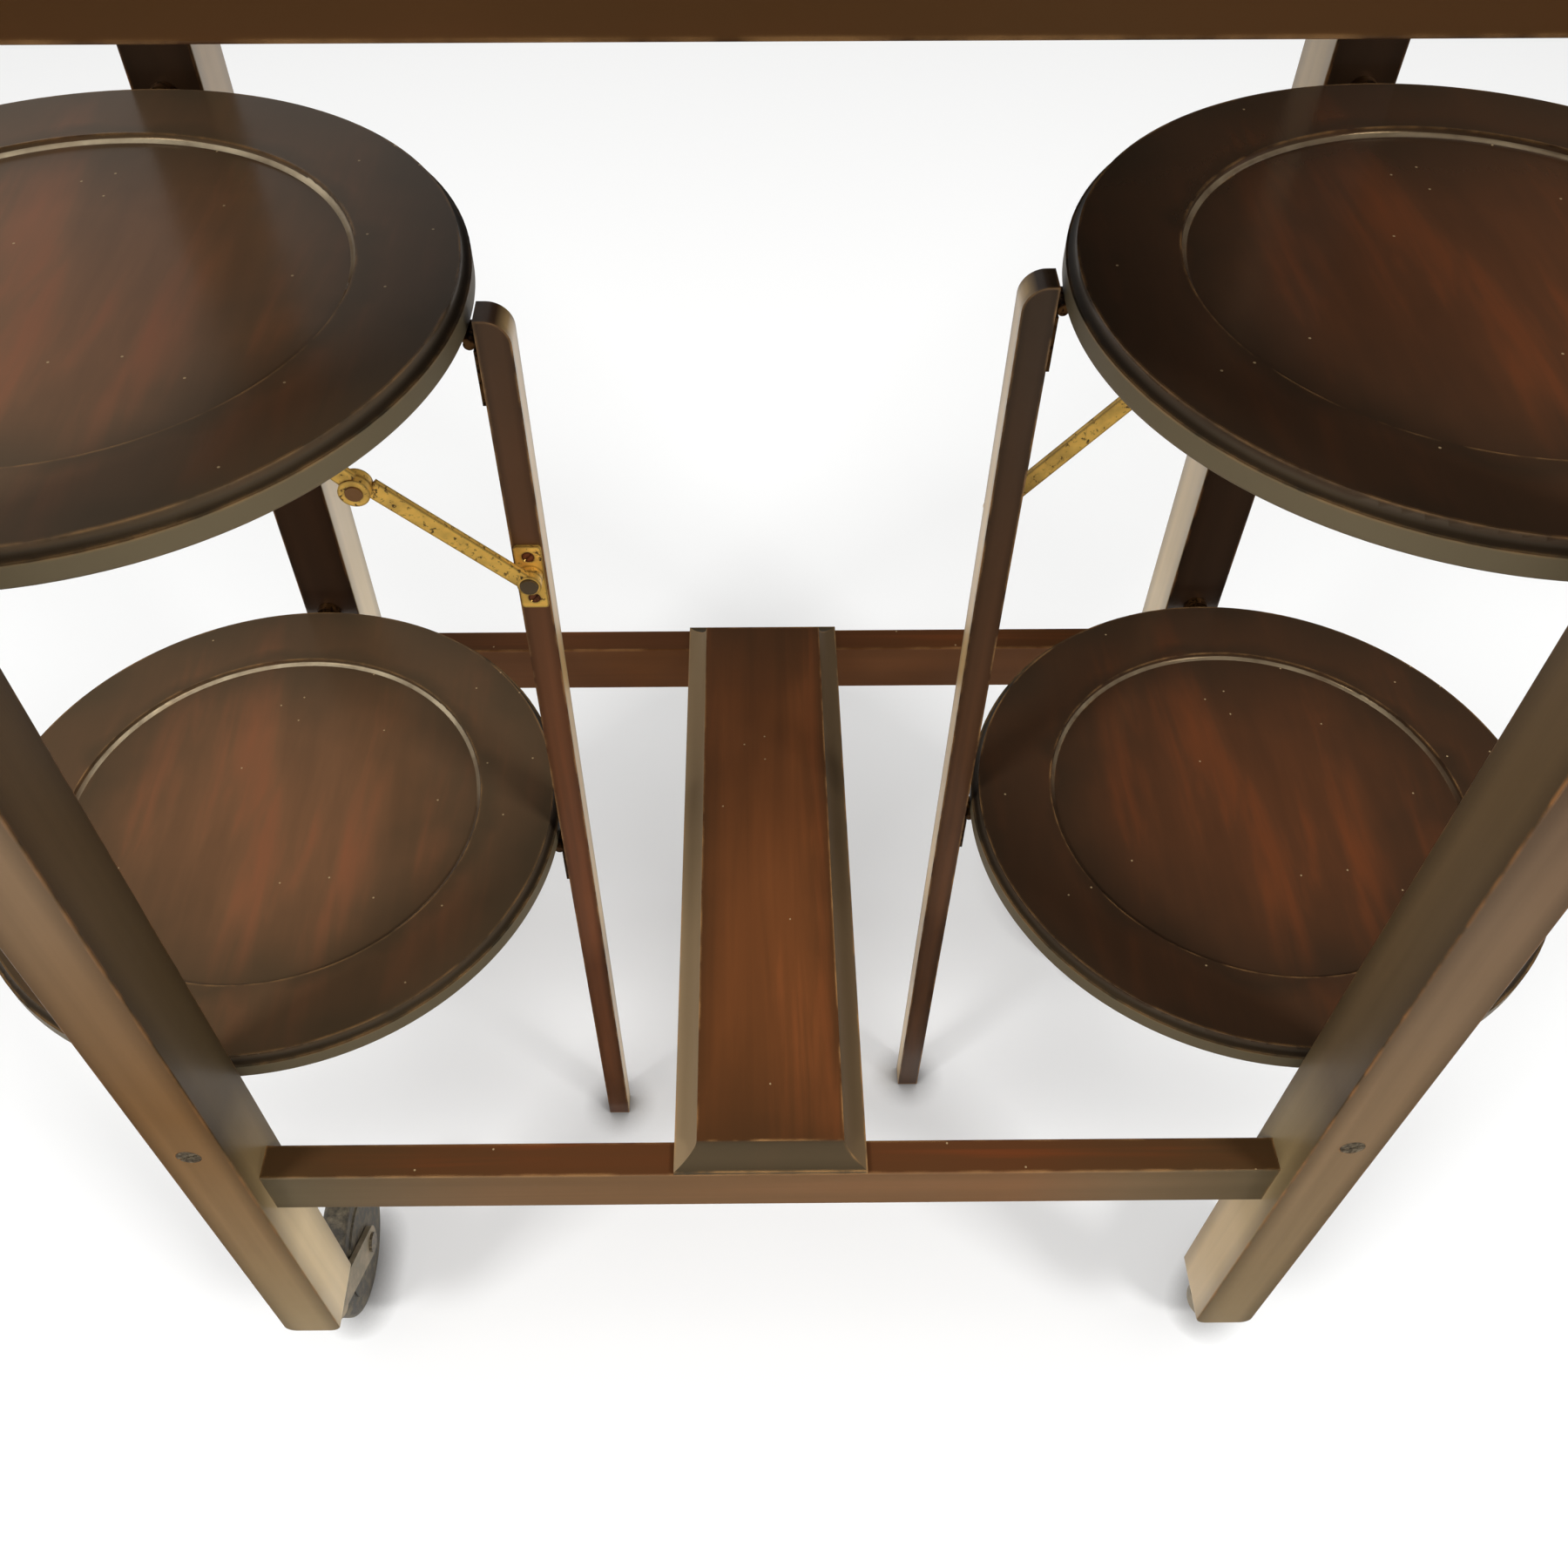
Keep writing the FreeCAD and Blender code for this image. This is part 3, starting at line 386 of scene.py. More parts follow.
# Stamped sheet brass under old lacquer: warm yellow metal, browned spots and a dull bloom.
# pins are rivet heads and studs: distance from the middle and height in mm, radius in mm and tone.
def spotted_brass(name, bright="#f2c25c", brown="#4e361c", spots=0.56, rough=0.42, metal=0.5, pins=()):
    finish, tree, surface = new_finish(name)
    place = add(tree, "ShaderNodeTexCoord").outputs["Object"]
    specks = add(tree, "ShaderNodeTexNoise", [
        ("Vector", place), ("Scale", 1 / SPOT_WIDTH), ("Detail", 5.0), ("Roughness", 0.65)])
    bloom = add(tree, "ShaderNodeTexNoise", [("Vector", place), ("Scale", 1 / BLOOM_WIDTH), ("Detail", 3.0)])
    dark = add(tree, "ShaderNodeMapRange", [
        ("Value", specks.outputs["Fac"]), ("From Min", spots), ("From Max", spots + 0.09)])
    dull = add(tree, "ShaderNodeMapRange", [
        ("Value", bloom.outputs["Fac"]), ("From Min", 0.4), ("From Max", 0.75), ("To Max", 0.5)])
    stain = add(tree, "ShaderNodeMath", [(0, dark.outputs[0]), (1, dull.outputs[0])], operation="MAXIMUM")
    turned = add(tree, "ShaderNodeBevel", [("Radius", BROWNED_EDGE)], samples=4)
    true = add(tree, "ShaderNodeNewGeometry")
    facing = add(tree, "ShaderNodeVectorMath", [(0, turned.outputs[0]), (1, true.outputs["Normal"])],
                 operation="DOT_PRODUCT")
    edge = add(tree, "ShaderNodeMapRange", [
        ("Value", facing.outputs["Value"]), ("From Min", 0.99), ("From Max", 0.88), ("To Max", 0.9)])
    stain = add(tree, "ShaderNodeMath", [(0, stain.outputs[0]), (1, edge.outputs[0])], operation="MAXIMUM")
    colour = add(tree, "ShaderNodeMix", [
        ("Factor", stain.outputs[0]), ("A", linear(bright)), ("B", linear(brown))],
        data_type="RGBA").outputs["Result"]
    sizes = add(tree, "ShaderNodeVectorMath", [(0, place), (1, (1.0, 0.0, 1.0))], operation="MULTIPLY")
    sizes = add(tree, "ShaderNodeVectorMath", [(0, sizes.outputs[0])], operation="ABSOLUTE")
    for x, z, radius, tone in pins:
        away = add(tree, "ShaderNodeVectorMath", [(0, sizes.outputs[0]), (1, (x * MM, 0.0, z * MM))],
                   operation="DISTANCE")
        pin = add(tree, "ShaderNodeMath", [(0, away.outputs["Value"]), (1, radius * MM)],
                  operation="LESS_THAN")
        colour = add(tree, "ShaderNodeMix", [
            ("Factor", pin.outputs[0]), ("A", colour), ("B", linear(tone))],
            data_type="RGBA").outputs["Result"]
    tree.links.new(colour, surface.inputs["Base Color"])
    grit = add(tree, "ShaderNodeMapRange", [
        ("Value", specks.outputs["Fac"]), ("From Min", NOISE_LOW), ("From Max", NOISE_HIGH),
        ("To Min", rough - 0.08), ("To Max", rough + 0.15)])
    tree.links.new(grit.outputs[0], surface.inputs["Roughness"])
    bump = add(tree, "ShaderNodeBump", [
        ("Height", specks.outputs["Fac"]), ("Strength", 0.2), ("Distance", 0.1 * MM)])
    tree.links.new(bump.outputs[0], surface.inputs["Normal"])
    surface.inputs["Metallic"].default_value = metal
    return finish


# Cast iron and vulcanised rubber of the castors, and darkened steel: dull, scuffed, dusty in patches.
def scuffed(name, body, dust, metal, rough, size):
    finish, tree, surface = new_finish(name)
    place = add(tree, "ShaderNodeTexCoord").outputs["Object"]
    patch = add(tree, "ShaderNodeTexNoise", [
        ("Vector", place), ("Scale", 1 / (size * MM)), ("Detail", 6.0), ("Roughness", 0.65)])
    amount = add(tree, "ShaderNodeMapRange", [
        ("Value", patch.outputs["Fac"]), ("From Min", 0.42), ("From Max", 0.68)])
    colour = add(tree, "ShaderNodeMix", [
        ("Factor", amount.outputs[0]), ("A", linear(body)), ("B", linear(dust))], data_type="RGBA")
    tree.links.new(colour.outputs["Result"], surface.inputs["Base Color"])
    grit = add(tree, "ShaderNodeMapRange", [
        ("Value", patch.outputs["Fac"]), ("From Min", NOISE_LOW), ("From Max", NOISE_HIGH),
        ("To Min", rough - 0.1), ("To Max", rough + 0.1)])
    tree.links.new(grit.outputs[0], surface.inputs["Roughness"])
    bump = add(tree, "ShaderNodeBump", [
        ("Height", patch.outputs["Fac"]), ("Strength", 0.25), ("Distance", 0.3 * MM)])
    tree.links.new(bump.outputs[0], surface.inputs["Normal"])
    surface.inputs["Metallic"].default_value = metal
    return finish


# Frame timber: all legs are one dark wood, with painted light on their faces: painted sheen on the front
# legs' fronts, low on their inner faces and on the back legs' inner faces, painted shade on the back legs'
# fronts and high on the front legs' inner faces. Each face of a leg is its colours at heights in millimetres.
LEG_WOOD = ("#3a281a", "#553822", "#6a4226")
LEG_FACE_LIGHT = {
    "front_left": {
        "front": ((90, "#8e7a5a"), (200, "#806748"), (320, "#6e5030"), (520, "#6e5a44")),
        "inner": ((170, "#d0b88e"), (240, "#86714e"), (300, "#463a26"), (560, "#43321f"))},
    "front_right": {
        "front": ((90, "#837052"), (300, "#786249"), (520, "#5e4a38")),
        "inner": ((170, "#bca27a"), (250, "#8c7854"), (320, "#564630"), (560, "#58452c"))},
    "back_left": {
        "front": ((200, "#2b1c13"), (560, "#24180f")), "inner": ((200, "#dfc594"), (560, "#b2946a"))},
    "back_right": {
        "front": ((200, "#261a12"), (560, "#24180f")), "inner": ((200, "#d8bb88"), (560, "#b09260"))},
}
for end, sy in ENDS:
    for side, sx in SIDES:
        corner = end + "_" + side
        leg_face_light = LEG_FACE_LIGHT[corner]
        gloss, polish = (0.35, 0.4) if end == "back" else (0.3, 0.0)
        painted_light_faces = [((-sx, 0, 0), leg_face_light["inner"]), ((0, -1, 0), leg_face_light["front"])]
        dress(shaded_mahogany(
            corner + "_leg_mahogany", "Z", (sx * leg_place.x, sy * leg_place.y, LEG_HEART),
            (FAR, FAR, 420 * MM), *LEG_WOOD, painted_light_faces=painted_light_faces, section=leg_half, pale_mark="#94643a",
            gloss=gloss, polish=polish, wear=1.0), corner + "_leg")
# Stretchers: the front one's front face is painted olive-grey towards its ends and browner in the middle, as
# painted sheen; the back one's front face is given one flat tone
dress(shaded_mahogany(
    "front_stretcher_mahogany", "X", (0, -leg_place.y, STRETCHER_HEART), (225 * MM, FAR, FAR),
    "#44321e", "#5c341c", "#8e401c",
    painted_light_faces=[((0, -1, 0), (
        (-220, "#5c5340"), (-120, "#6f553b"), (110, "#76563a"), (160, "#6c573e"), (220, "#574c38")))],
    painted_light_along="X", wear=0.8), "front_stretcher")
dress(shaded_mahogany(
    "back_stretcher_mahogany", "X", (0, leg_place.y, STRETCHER_HEART), (240 * MM, FAR, FAR),
    "#3e2612", "#5c341a", "#7c3c1a", painted_light_faces=[((0, -1, 0), ((0, "#5e3a20"), (400, "#5e3a20")))],
    gloss=0.25, wear=0.8), "back_stretcher")
# The board's coves carry painted light: a pale left cove, a darker right one and dark ends
dress(shaded_mahogany(
    "board_mahogany", "Y", board_place, (37 * MM, 178 * MM, FAR),
    "#402a18", "#7c4826", "#94502a", trim=(coved_edge, "#8c775a", "#604f39", "#443b2c"),
    gloss=0.22, wear=0.9), "centre_board")
dress(shaded_mahogany(
    "top_mahogany", "X", (0, 0, TOP_HEART), (300 * MM, 210 * MM, FAR),
    "#36220f", "#4c2a16", "#64361a"), "table_top")
# One wood in two copies for each side: the left ones paler and more olive as painted sheen, the right ones
# darker as painted shade
PLATE_SIDE_LIGHT_TONES = {"left": ("#463828", "#7a5439", "#844c32"), "right": ("#32251a", "#5e3822", "#703a1e")}
STAND_SIDE_LIGHT_TONES = {"left": ("#46301e", "#6a4028", "#744428"), "right": ("#3a2a1c", "#563824", "#5e3c24")}
# Tones of the painted highlight on the recess walls, brighter on the left
WALL_HIGHLIGHT_TONES = {"left": "#c2b294", "right": "#7c6e58"}
for side, sx in SIDES:
    dress(shaded_mahogany(
        side + "_cleat_mahogany", "Y", (sx * cleat_place.x, 0, CLEAT_HEART), (FAR, 160 * MM, FAR),
        "#24160e", "#3e2414", "#4a2916"), side + "_end_cleat")
    for level, middle in PLATE_MIDDLES:
        name = side + "_" + level + "_plate"
        centre = (sx * plate_place.x, 0, middle + plate_half.z)
        dress(shaded_mahogany(
            name + "_mahogany", "Y", centre, (PLATE_RADIUS, PLATE_RADIUS, FAR),
            *PLATE_SIDE_LIGHT_TONES[side], disc=True,
            trim=(turned_rim, "#605642", "#1c1610", "#4e453a", WALL_HIGHLIGHT_TONES[side]),
            rough=0.2, wear=0.5), name)
    # The stand legs' inner faces are painted pale as painted sheen
    dress(shaded_mahogany(
        side + "_stand_leg_mahogany", "Z", (sx * stand_place.x, sx * stand_place.y, STAND_HEART),
        (FAR, FAR, 340 * MM), *STAND_SIDE_LIGHT_TONES[side], painted_light_faces=[((-sx, 0, 0), ((0, "#cdad78"), (600, "#c3a26c")))],
        section=stand_half, polish=0.25, wear=0.9), side + "_stand_leg")

# Metal
ELBOW_RIVET = (144.7, 506.6, 3.2, "#7c5630")
LOWER_STUD = (91.1, 454.1, 3.6, "#5a4a34")
brass = spotted_brass("lacquered_sheet_brass", pins=(ELBOW_RIVET, LOWER_STUD))
brown_brass = spotted_brass(
    "browned_sheet_brass", bright="#6c4c2c", brown="#2c1c10", spots=0.5, rough=0.5, metal=1.0)
dull_brass = spotted_brass(
    "browned_turned_brass", bright="#94583a", brown="#4a2c1a", spots=0.55, rough=0.45, metal=0.8)
steel = scuffed("darkened_steel", "#4c4234", "#94866e", 0.5, 0.42, 1.5)
iron = scuffed("worn_cast_iron", "#7c7058", "#a2927a", 0.3, 0.5, 8)
rubber = scuffed("vulcanised_rubber", "#363026", "#6c624e", 0.0, 0.6, 5)
for side in ("left", "right"):
    for name in ("upper_plate_leaf", "lower_plate_leaf", "upper_stand_leaf", "lower_stand_leaf"):
        dress(brown_brass, side + "_" + name)
    for name in ("stay_bracket", "stay_plate", "stay_upper_arm", "stay_lower_arm"):
        dress(brass, side + "_" + name)
dress(brown_brass, "pivot_spacers")
dress(iron, "castor_sockets")
for corner in ("front_left", "front_right", "back_left", "back_right"):
    dress(iron, corner + "_castor_fork")
    dress(steel, corner + "_castor_axle")
    dress(rubber, corner + "_castor_hub", corner + "_castor_tyre")


SCREW_SIZES = ("Head Radius", "Shank Radius", "Head Depth", "Length", "Slot Width", "Slot Depth")
SCREW_SIDES = 28
TUBE_STEPS = 3
POINT_SHARE = 0.35
SLOT_REACH = 2.4


# Countersunk slotted wood screw: turned head and shank with a saw-cut slot, set on every given point
def slotted_screw_tree():
    tree = bpy.data.node_groups.new("slotted_screw", "GeometryNodeTree")
    sockets = tree.interface
    sockets.new_socket("Geometry", in_out="INPUT", socket_type="NodeSocketGeometry")
    for label in SCREW_SIZES:
        sockets.new_socket(label, in_out="INPUT", socket_type="NodeSocketFloat")
    sockets.new_socket("Material", in_out="INPUT", socket_type="NodeSocketMaterial")
    sockets.new_socket("Geometry", in_out="OUTPUT", socket_type="NodeSocketGeometry")
    given = add(tree, "NodeGroupInput").outputs

    # Four rings of a plain tube become the head's rim, its neck, the shank's end and the point
    tube = add(tree, "GeometryNodeMeshCylinder", [
        ("Vertices", SCREW_SIDES), ("Side Segments", TUBE_STEPS), ("Radius", 1.0), ("Depth", TUBE_STEPS)])
    place = add(tree, "GeometryNodeInputPosition")
    at = add(tree, "ShaderNodeSeparateXYZ", [(0, place.outputs[0])])
    down = add(tree, "ShaderNodeMath", [(0, TUBE_STEPS / 2), (1, at.outputs["Z"])], operation="SUBTRACT")
    ring = add(tree, "FunctionNodeFloatToInt", [(0, down.outputs[0])], rounding_mode="ROUND")
    point = add(tree, "ShaderNodeMath", [(0, given["Shank Radius"]), (1, POINT_SHARE)],
                operation="MULTIPLY")
    neck = add(tree, "ShaderNodeMath", [(0, given["Length"]), (1, given["Shank Radius"])],
               operation="SUBTRACT")
    levels = (
        (given["Head Radius"], 0.0), (given["Shank Radius"], given["Head Depth"]),
        (given["Shank Radius"], neck.outputs[0]), (point.outputs[0], given["Length"]))
    wide = add(tree, "GeometryNodeIndexSwitch", data_type="FLOAT")
    deep = add(tree, "GeometryNodeIndexSwitch", data_type="FLOAT")
    for switch, column in ((wide, 0), (deep, 1)):
        while len(switch.index_switch_items) < len(levels):
            switch.index_switch_items.new()
        tree.links.new(ring.outputs[0], switch.inputs["Index"])
        for i, level in enumerate(levels):
            if isinstance(level[column], bpy.types.NodeSocket):
                tree.links.new(level[column], switch.inputs[i + 1])
            else:
                switch.inputs[i + 1].default_value = level[column]
    spread = add(tree, "ShaderNodeVectorMath", [(0, place.outputs[0]), ("Scale", wide.outputs[0])],
                 operation="SCALE")
    flat = add(tree, "ShaderNodeSeparateXYZ", [(0, spread.outputs[0])])
    sunk = add(tree, "ShaderNodeMath", [(0, deep.outputs[0]), (1, -1.0)], operation="MULTIPLY")
    turned = add(tree, "ShaderNodeCombineXYZ", [
        ("X", flat.outputs["X"]), ("Y", flat.outputs["Y"]), ("Z", sunk.outputs[0])])
    blank = add(tree, "GeometryNodeSetPosition", [
        ("Geometry", tube.outputs["Mesh"]), ("Position", turned.outputs[0])])

    # Slot right across the head
    across = add(tree, "ShaderNodeMath", [(0, given["Head Radius"]), (1, SLOT_REACH)],
                 operation="MULTIPLY")
    twice = add(tree, "ShaderNodeMath", [(0, given["Slot Depth"]), (1, 2.0)], operation="MULTIPLY")
    size = add(tree, "ShaderNodeCombineXYZ", [
        ("X", across.outputs[0]), ("Y", given["Slot Width"]), ("Z", twice.outputs[0])])
    saw = add(tree, "GeometryNodeMeshCube", [("Size", size.outputs[0])])
    screw = add(tree, "GeometryNodeMeshBoolean", [
        ("Mesh 1", blank.outputs[0]), ("Mesh 2", saw.outputs["Mesh"])], operation="DIFFERENCE")

    # One on each point, turned as the point's own attribute says
    turn = add(tree, "GeometryNodeInputNamedAttribute", [("Name", "turn")], data_type="FLOAT_VECTOR")
    spin = add(tree, "FunctionNodeEulerToRotation", [(0, turn.outputs["Attribute"])])
    driven = add(tree, "GeometryNodeInstanceOnPoints", [
        ("Points", given["Geometry"]), ("Instance", screw.outputs["Mesh"]), ("Rotation", spin.outputs[0])])
    solid = add(tree, "GeometryNodeRealizeInstances", [("Geometry", driven.outputs[0])])
    coated = add(tree, "GeometryNodeSetMaterial", [
        ("Geometry", solid.outputs[0]), ("Material", given["Material"])])
    add(tree, "NodeGroupOutput", [(0, coated.outputs[0])])
    return tree


SCREW_TREE = slotted_screw_tree()
# Sizes in millimetres, in the order of SCREW_SIZES
PIVOT_SCREW = (5.0, 2.5, 2.5, 53.5, 1.1, 1.0)
WOOD_SCREW = (3.6, 1.9, 1.8, 23.0, 1.1, 1.0)
SMALL_SCREW = (2.4, 1.2, 1.2, 7.5, 0.6, 0.5)


def drive_screws(node, body, finish, sizes, places):
    # places are (point, way the head faces, turn of the slot in degrees)
    name = node + "_visual"
    mesh = bpy.data.meshes.new(name + "_points")
    mesh.from_pydata([point for point, way, slot_turn in places], [], [])
    turns = mesh.attributes.new("turn", "FLOAT_VECTOR", "POINT")
    for item, (point, way, slot_turn) in zip(turns.data, places):
        facing = Vector((0, 0, 1)).rotation_difference(Vector(way)).to_matrix()
        item.vector = (facing @ Matrix.Rotation(math.radians(slot_turn), 3, "Z")).to_euler()
    points = bpy.data.objects.new(name + "_points", mesh)
    bpy.context.scene.collection.objects.link(points)
    builder = points.modifiers.new("screws", "NODES")
    builder.node_group = SCREW_TREE
    wanted = dict(zip(SCREW_SIZES, (size * MM for size in sizes)), Material=finish)
    for socket in SCREW_TREE.interface.items_tree:
        if socket.in_out == "INPUT" and socket.name in wanted:
            builder[socket.identifier] = wanted[socket.name]
    built = points.evaluated_get(bpy.context.evaluated_depsgraph_get())
    piece = bpy.data.objects.new(name, bpy.data.meshes.new_from_object(built))
    piece.data.materials.clear()
    piece.data.materials.append(finish)
    bpy.context.scene.collection.objects.link(piece)
    points.modifiers.remove(builder)
    bpy.data.objects.remove(points)
    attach(piece, body)
    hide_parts(node)


# Where the screws sit; those of an end are given for the right-hand one
PIVOT_X, LEG_FACE_Y = plate_place.x, leg_place.y + leg_half.y
BOARD_SCREW_X, BOARD_SCREW_Y, BOARD_SCREW_Z = board_half.x / 2, BOARD_FLAT[1], 226 * MM
CLEAT_SCREW_Y, CLEAT_UNDERSIDE = 94.333 * MM, cleat_place.z - cleat_half.z
HINGE_Y = stand_place.y
STAND_LEAF_X, STAND_LEAF_HEIGHTS = 98.3 * MM, (535.1 * MM, 545.1 * MM, 256.7 * MM, 266.7 * MM)
STAY_PLATE_Y, STAY_PLATE_HEIGHTS = 16.5 * MM, (442.1 * MM, 463.1 * MM)
PLATE_LEAF_PLACES, UPPER_LEAF_Z, LOWER_LEAF_Z = (118.4 * MM, 108.4 * MM), 555.2 * MM, 276.8 * MM
BRACKET_PLACES, BRACKET_Y, BRACKET_Z = (170.4 * MM, 190.4 * MM), 39.025 * MM, 554.9 * MM
UNDER = (0, 0, -1)
# Degrees that the slots were left turned by
PIVOT_TURN, STAND_LEAF_TURN, STAY_PLATE_TURN, PLATE_LEAF_TURN, BRACKET_TURN = 25, 35, 50, 20, 70

pivot_screws = [
    ((x, sy * LEG_FACE_Y, z), (0, sy, 0), PIVOT_TURN)
    for x in (-PIVOT_X, PIVOT_X) for end, sy in ENDS for level, z in PLATE_MIDDLES]
board_screws = [
    ((x, y, BOARD_SCREW_Z), UNDER, 0)
    for x in (-BOARD_SCREW_X, BOARD_SCREW_X) for y in (-BOARD_SCREW_Y, BOARD_SCREW_Y)]
cleat_screws = [
    ((x, y, CLEAT_UNDERSIDE), UNDER, 0)
    for x in (-cleat_place.x, cleat_place.x) for y in (-CLEAT_SCREW_Y, 0, CLEAT_SCREW_Y)]
drive_screws("plate_pivot_screws", "frame", steel, PIVOT_SCREW, pivot_screws)
drive_screws("wood_screws", "frame", steel, WOOD_SCREW, board_screws + cleat_screws)

leaf_screws = [((STAND_LEAF_X, HINGE_Y, z), (1, 0, 0), STAND_LEAF_TURN) for z in STAND_LEAF_HEIGHTS]
stay_screws = [
    ((stand_place.x, STAY_PLATE_Y, z), (0, 1, 0), STAY_PLATE_TURN) for z in STAY_PLATE_HEIGHTS]
upper_screws = [((x, HINGE_Y, UPPER_LEAF_Z), UNDER, PLATE_LEAF_TURN) for x in PLATE_LEAF_PLACES]
lower_screws = [((x, HINGE_Y, LOWER_LEAF_Z), UNDER, PLATE_LEAF_TURN) for x in PLATE_LEAF_PLACES]
bracket_screws = [((x, BRACKET_Y, BRACKET_Z), UNDER, BRACKET_TURN) for x in BRACKET_PLACES]
END_SCREWS = (
    ("stand_leg", leaf_screws + stay_screws),
    ("upper_plate", upper_screws + bracket_screws),
    ("lower_plate", lower_screws))
for side, sx in SIDES:
    for owner, screws in END_SCREWS:
        name = side + "_" + owner
        places = [
            ((sx * x, sx * y, z), (sx * way[0], sx * way[1], way[2]), slot_turn)
            for (x, y, z), way, slot_turn in screws]
        drive_screws(name + "_screws", name + "_body", dull_brass, SMALL_SCREW, places)


CONTACT_REACH = 18 * MM
CONTACT_DEPTH = 3.0
PAPER_GLOW = 0.3


# White seamless paper: it keeps shadows, takes painted contact shade from an occlusion node close under what
# stands on it, and shows nearly white to the eye and to gloss
def seamless_white():
    finish, tree, surface = new_finish("seamless_paper")
    close = add(tree, "ShaderNodeAmbientOcclusion", [("Distance", CONTACT_REACH)], samples=8)
    bare = add(tree, "ShaderNodeMath", [(0, close.outputs["AO"]), (1, CONTACT_DEPTH)], operation="POWER")
    paper = add(tree, "ShaderNodeMix", [
        ("Factor", bare.outputs[0]), ("A", linear("#8a8886")), ("B", linear("#f6f6f5"))], data_type="RGBA")
    tree.links.new(paper.outputs["Result"], surface.inputs["Base Color"])
    surface.inputs["Roughness"].default_value = 0.9
    path = add(tree, "ShaderNodeLightPath")
    seen = add(tree, "ShaderNodeMath", [
        (0, path.outputs["Is Camera Ray"]), (1, path.outputs["Is Glossy Ray"])], operation="MAXIMUM")
    seen = add(tree, "ShaderNodeMath", [
        (0, seen.outputs[0]), (1, path.outputs["Is Transmission Ray"])], operation="MAXIMUM")
    share = add(tree, "ShaderNodeMath", [(0, bare.outputs[0]), (1, PAPER_GLOW)], operation="MULTIPLY")
    share = add(tree, "ShaderNodeMath", [(0, seen.outputs[0]), (1, share.outputs[0])], operation="MULTIPLY")
    glow = add(tree, "ShaderNodeEmission", [("Color", (1, 1, 1, 1)), ("Strength", 1.0)])
    mixed = add(tree, "ShaderNodeMixShader", [
        (0, share.outputs[0]), (1, surface.outputs[0]), (2, glow.outputs[0])])
    tree.links.new(mixed.outputs[0], tree.nodes["Material Output"].inputs["Surface"])
    return finish


# Dark felt for the cards that only the polish sees
def dark_felt():
    finish, tree, surface = new_finish("dark_felt")
    surface.inputs["Base Color"].default_value = linear("#3a3228")
    surface.inputs["Roughness"].default_value = 1.0
    surface.inputs["Specular IOR Level"].default_value = 0.0
    return finish


def stage_sheet(name, sheets, finish):
    # Flat sheets of one stage piece, each given by its four corners
    mesh = bpy.data.meshes.new(name)
    corners = [corner for sheet in sheets for corner in sheet]
    mesh.from_pydata(corners, [], [range(4 * i, 4 * i + 4) for i in range(len(sheets))])
    mesh.materials.append(finish)
    made = bpy.data.objects.new(name, mesh)
    bpy.context.scene.collection.objects.link(made)
    return made


def floor_patch(x0, x1, y0, y1, z):
    return [(x0, y0, z), (x1, y0, z), (x1, y1, z), (x0, y1, z)]


FLOOR_REACH = 6.0
FLOOR_Z = -0.5 * MM
floor_corners = floor_patch(-FLOOR_REACH, FLOOR_REACH, -FLOOR_REACH, FLOOR_REACH, FLOOR_Z)
stage_sheet("floor", [floor_corners], seamless_white())

# Dark cards, on the floor in front and upright at the back right, keep the white room out of the polish
# there; they throw no light or shade and the eye never sees them. A patch is x from and to, y from and to.
FRONT_CARD = (
    (-3.0, -0.55, -3.0, -0.19), (0.55, 3.0, -3.0, -0.19), (-0.55, 0.55, -0.5, -0.19),
    (-0.27, 0.27, -3.0, -0.5), (-0.15, 0.15, -0.19, -0.02))
BACK_RIGHT_CARD = ((0.1, 1.6, 0.3), (3.0, 0.6, 0.3), (3.0, 0.6, 3.0), (0.1, 1.6, 3.0))
felt = dark_felt()
cards = [
    stage_sheet("front_card", [floor_patch(*patch, 0.0) for patch in FRONT_CARD], felt),
    stage_sheet("back_right_card", [BACK_RIGHT_CARD], felt),
]
for card in cards:
    card.visible_camera = False
    card.visible_diffuse = False
    card.visible_transmission = False
    card.visible_shadow = False

# Room: soft and white all round, dimmer overhead
ROOM_LEVEL, ROOM_OVERHEAD = 0.55, 0.35
world = bpy.data.worlds.new("studio")
bpy.context.scene.world = world
world.use_nodes = True
tree = world.node_tree
tree.nodes.clear()
way = add(tree, "ShaderNodeTexCoord").outputs["Generated"]
height = add(tree, "ShaderNodeSeparateXYZ", [(0, way)])
overhead = add(tree, "ShaderNodeMapRange", [
    ("Value", height.outputs["Z"]), ("From Min", 0.0), ("From Max", 0.9),
    ("To Min", ROOM_LEVEL), ("To Max", ROOM_OVERHEAD)])
soft = add(tree, "ShaderNodeBackground", [("Color", (1, 1, 1, 1)), ("Strength", overhead.outputs[0])])
add(tree, "ShaderNodeOutputWorld", [(0, soft.outputs[0])])


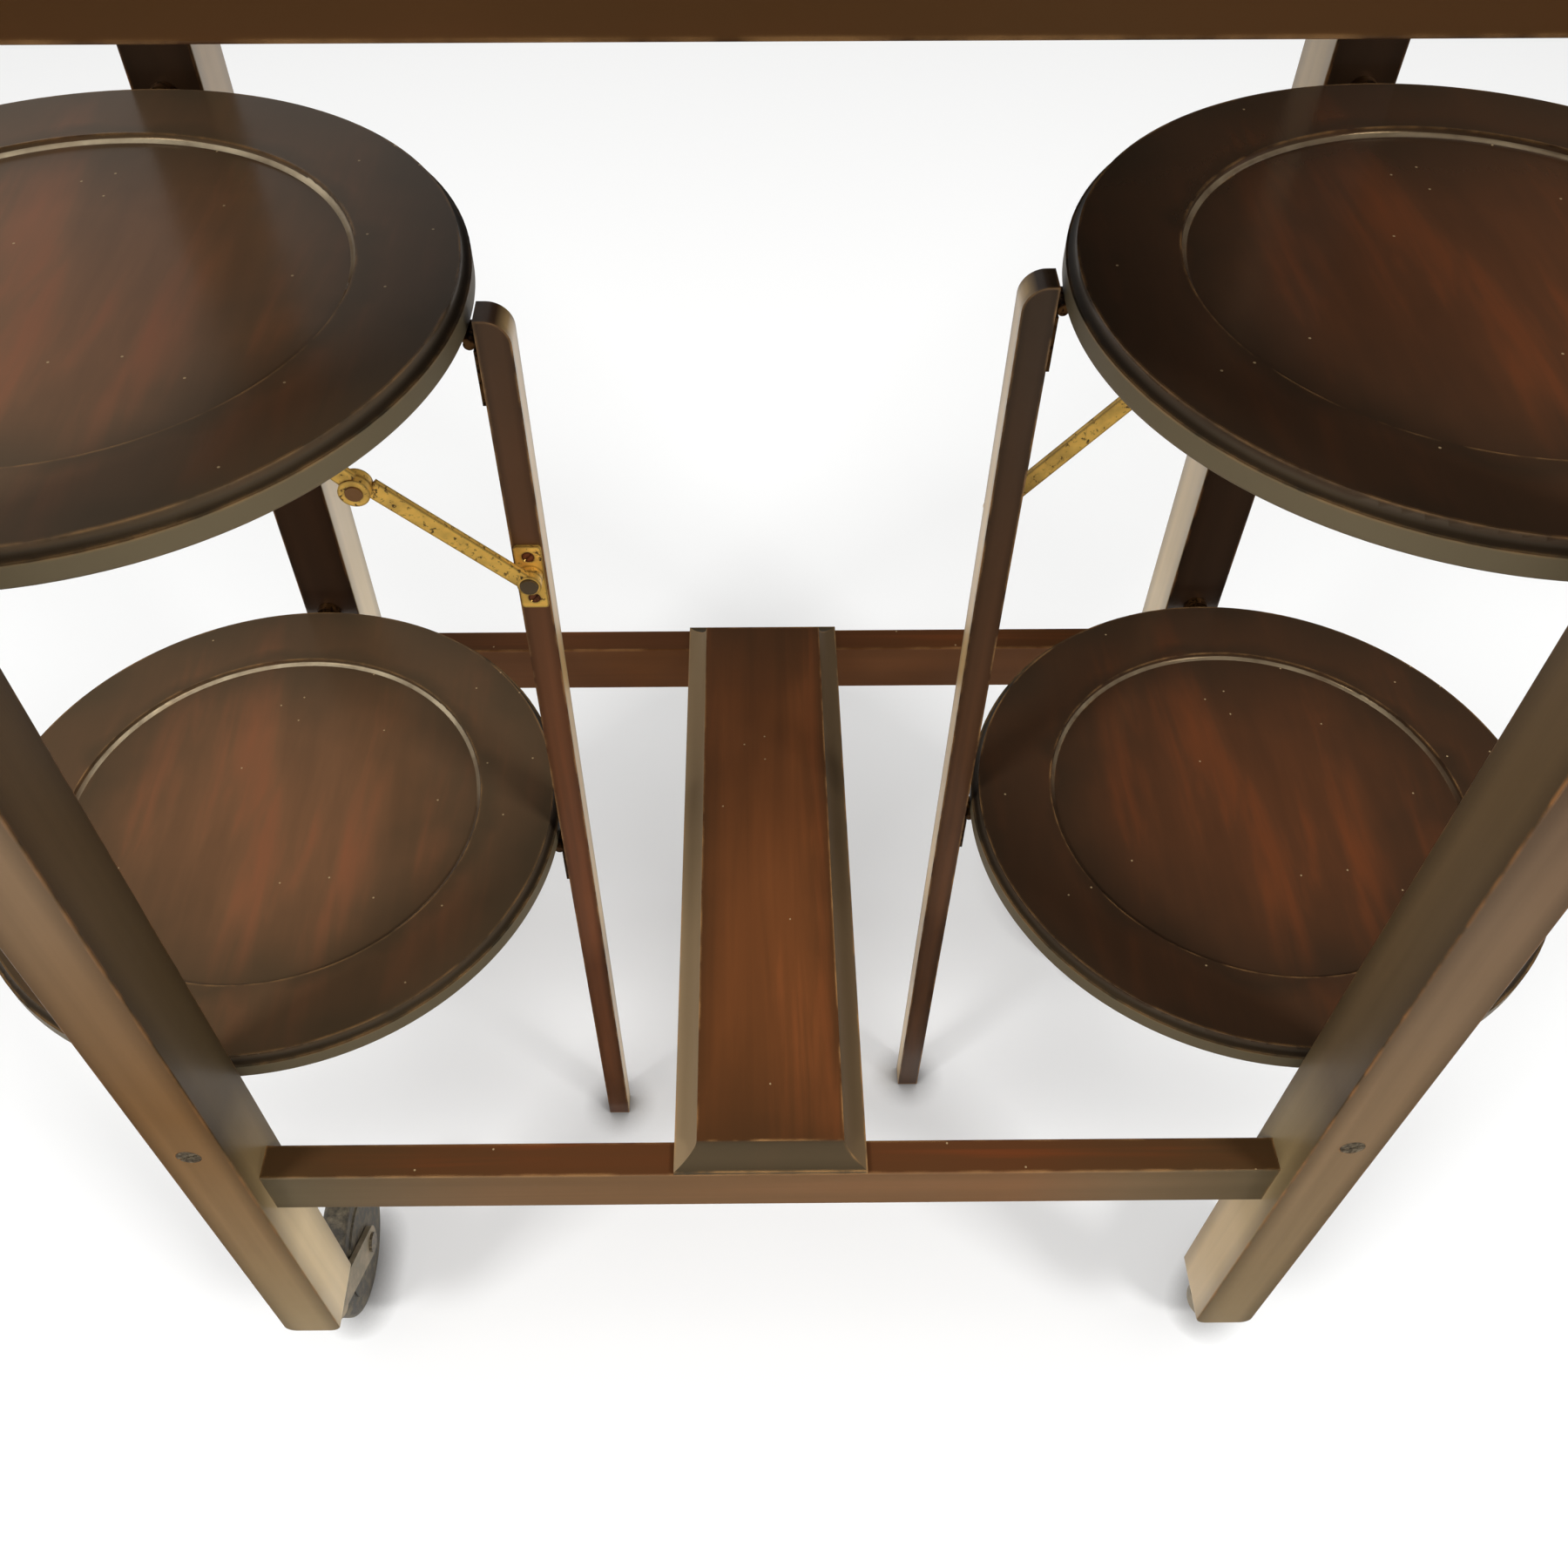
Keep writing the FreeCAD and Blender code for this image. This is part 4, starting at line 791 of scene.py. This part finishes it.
def softbox(name, place, aim, size, power):
    lamp = bpy.data.lights.new(name, "AREA")
    lamp.shape = "SQUARE"
    lamp.size = size
    lamp.energy = power
    box = bpy.data.objects.new(name, lamp)
    way = Vector(aim) - Vector(place)
    box.matrix_world = Matrix.Translation(place) @ way.to_track_quat("-Z", "Y").to_matrix().to_4x4()
    bpy.context.scene.collection.objects.link(box)


# Place, aim and width in metres, power in watts
for softbox_sizes in (
        ("front_left_softbox", (-1.6, -1.5, 2.2), (0, 0, 0.35), 0.6, 42),
        ("front_right_softbox", (1.6, -1.5, 2.2), (0, 0, 0.35), 0.6, 42),
        ("overhead_softbox", (0, 0, 3.2), (0, 0, 0), 2.6, 44)):
    softbox(*softbox_sizes)

# Camera: solved from the frame's straight edges and the plates' ellipses, with its place in millimetres,
# its angles in radians, and its focal length and optical centre in pixels of the photograph
CAMERA_PLACE = (-7.6, -426.8, 828.3)
PHOTO_WIDTH = 1800
FOCAL_LENGTH = 1646.0085
OPTICAL_CENTRE = 869.1466
SENSOR_WIDTH = 36.0
pitch, yaw, roll = 0.8851, -0.0075, -0.0012
turn = Matrix.Rotation(yaw, 3, "Z")
forward = turn @ Vector((0, math.cos(pitch), -math.sin(pitch)))
down = turn @ Vector((0, -math.sin(pitch), -math.cos(pitch)))
right = turn @ Vector((1, 0, 0))
across = math.cos(roll) * right - math.sin(roll) * down
below = math.sin(roll) * right + math.cos(roll) * down
lens = bpy.data.cameras.new("camera")
lens.sensor_width = SENSOR_WIDTH
lens.lens = SENSOR_WIDTH * FOCAL_LENGTH / PHOTO_WIDTH
lens.shift_x = (PHOTO_WIDTH / 2 - OPTICAL_CENTRE) / PHOTO_WIDTH
lens.clip_start = 0.01
camera = bpy.data.objects.new("camera", lens)
axes = Matrix((across, -below, -forward)).transposed().to_4x4()
camera.matrix_world = Matrix.Translation(Vector(CAMERA_PLACE) * MM) @ axes
bpy.context.scene.collection.objects.link(camera)
bpy.context.scene.camera = camera
bpy.context.scene.view_settings.view_transform = "Standard"
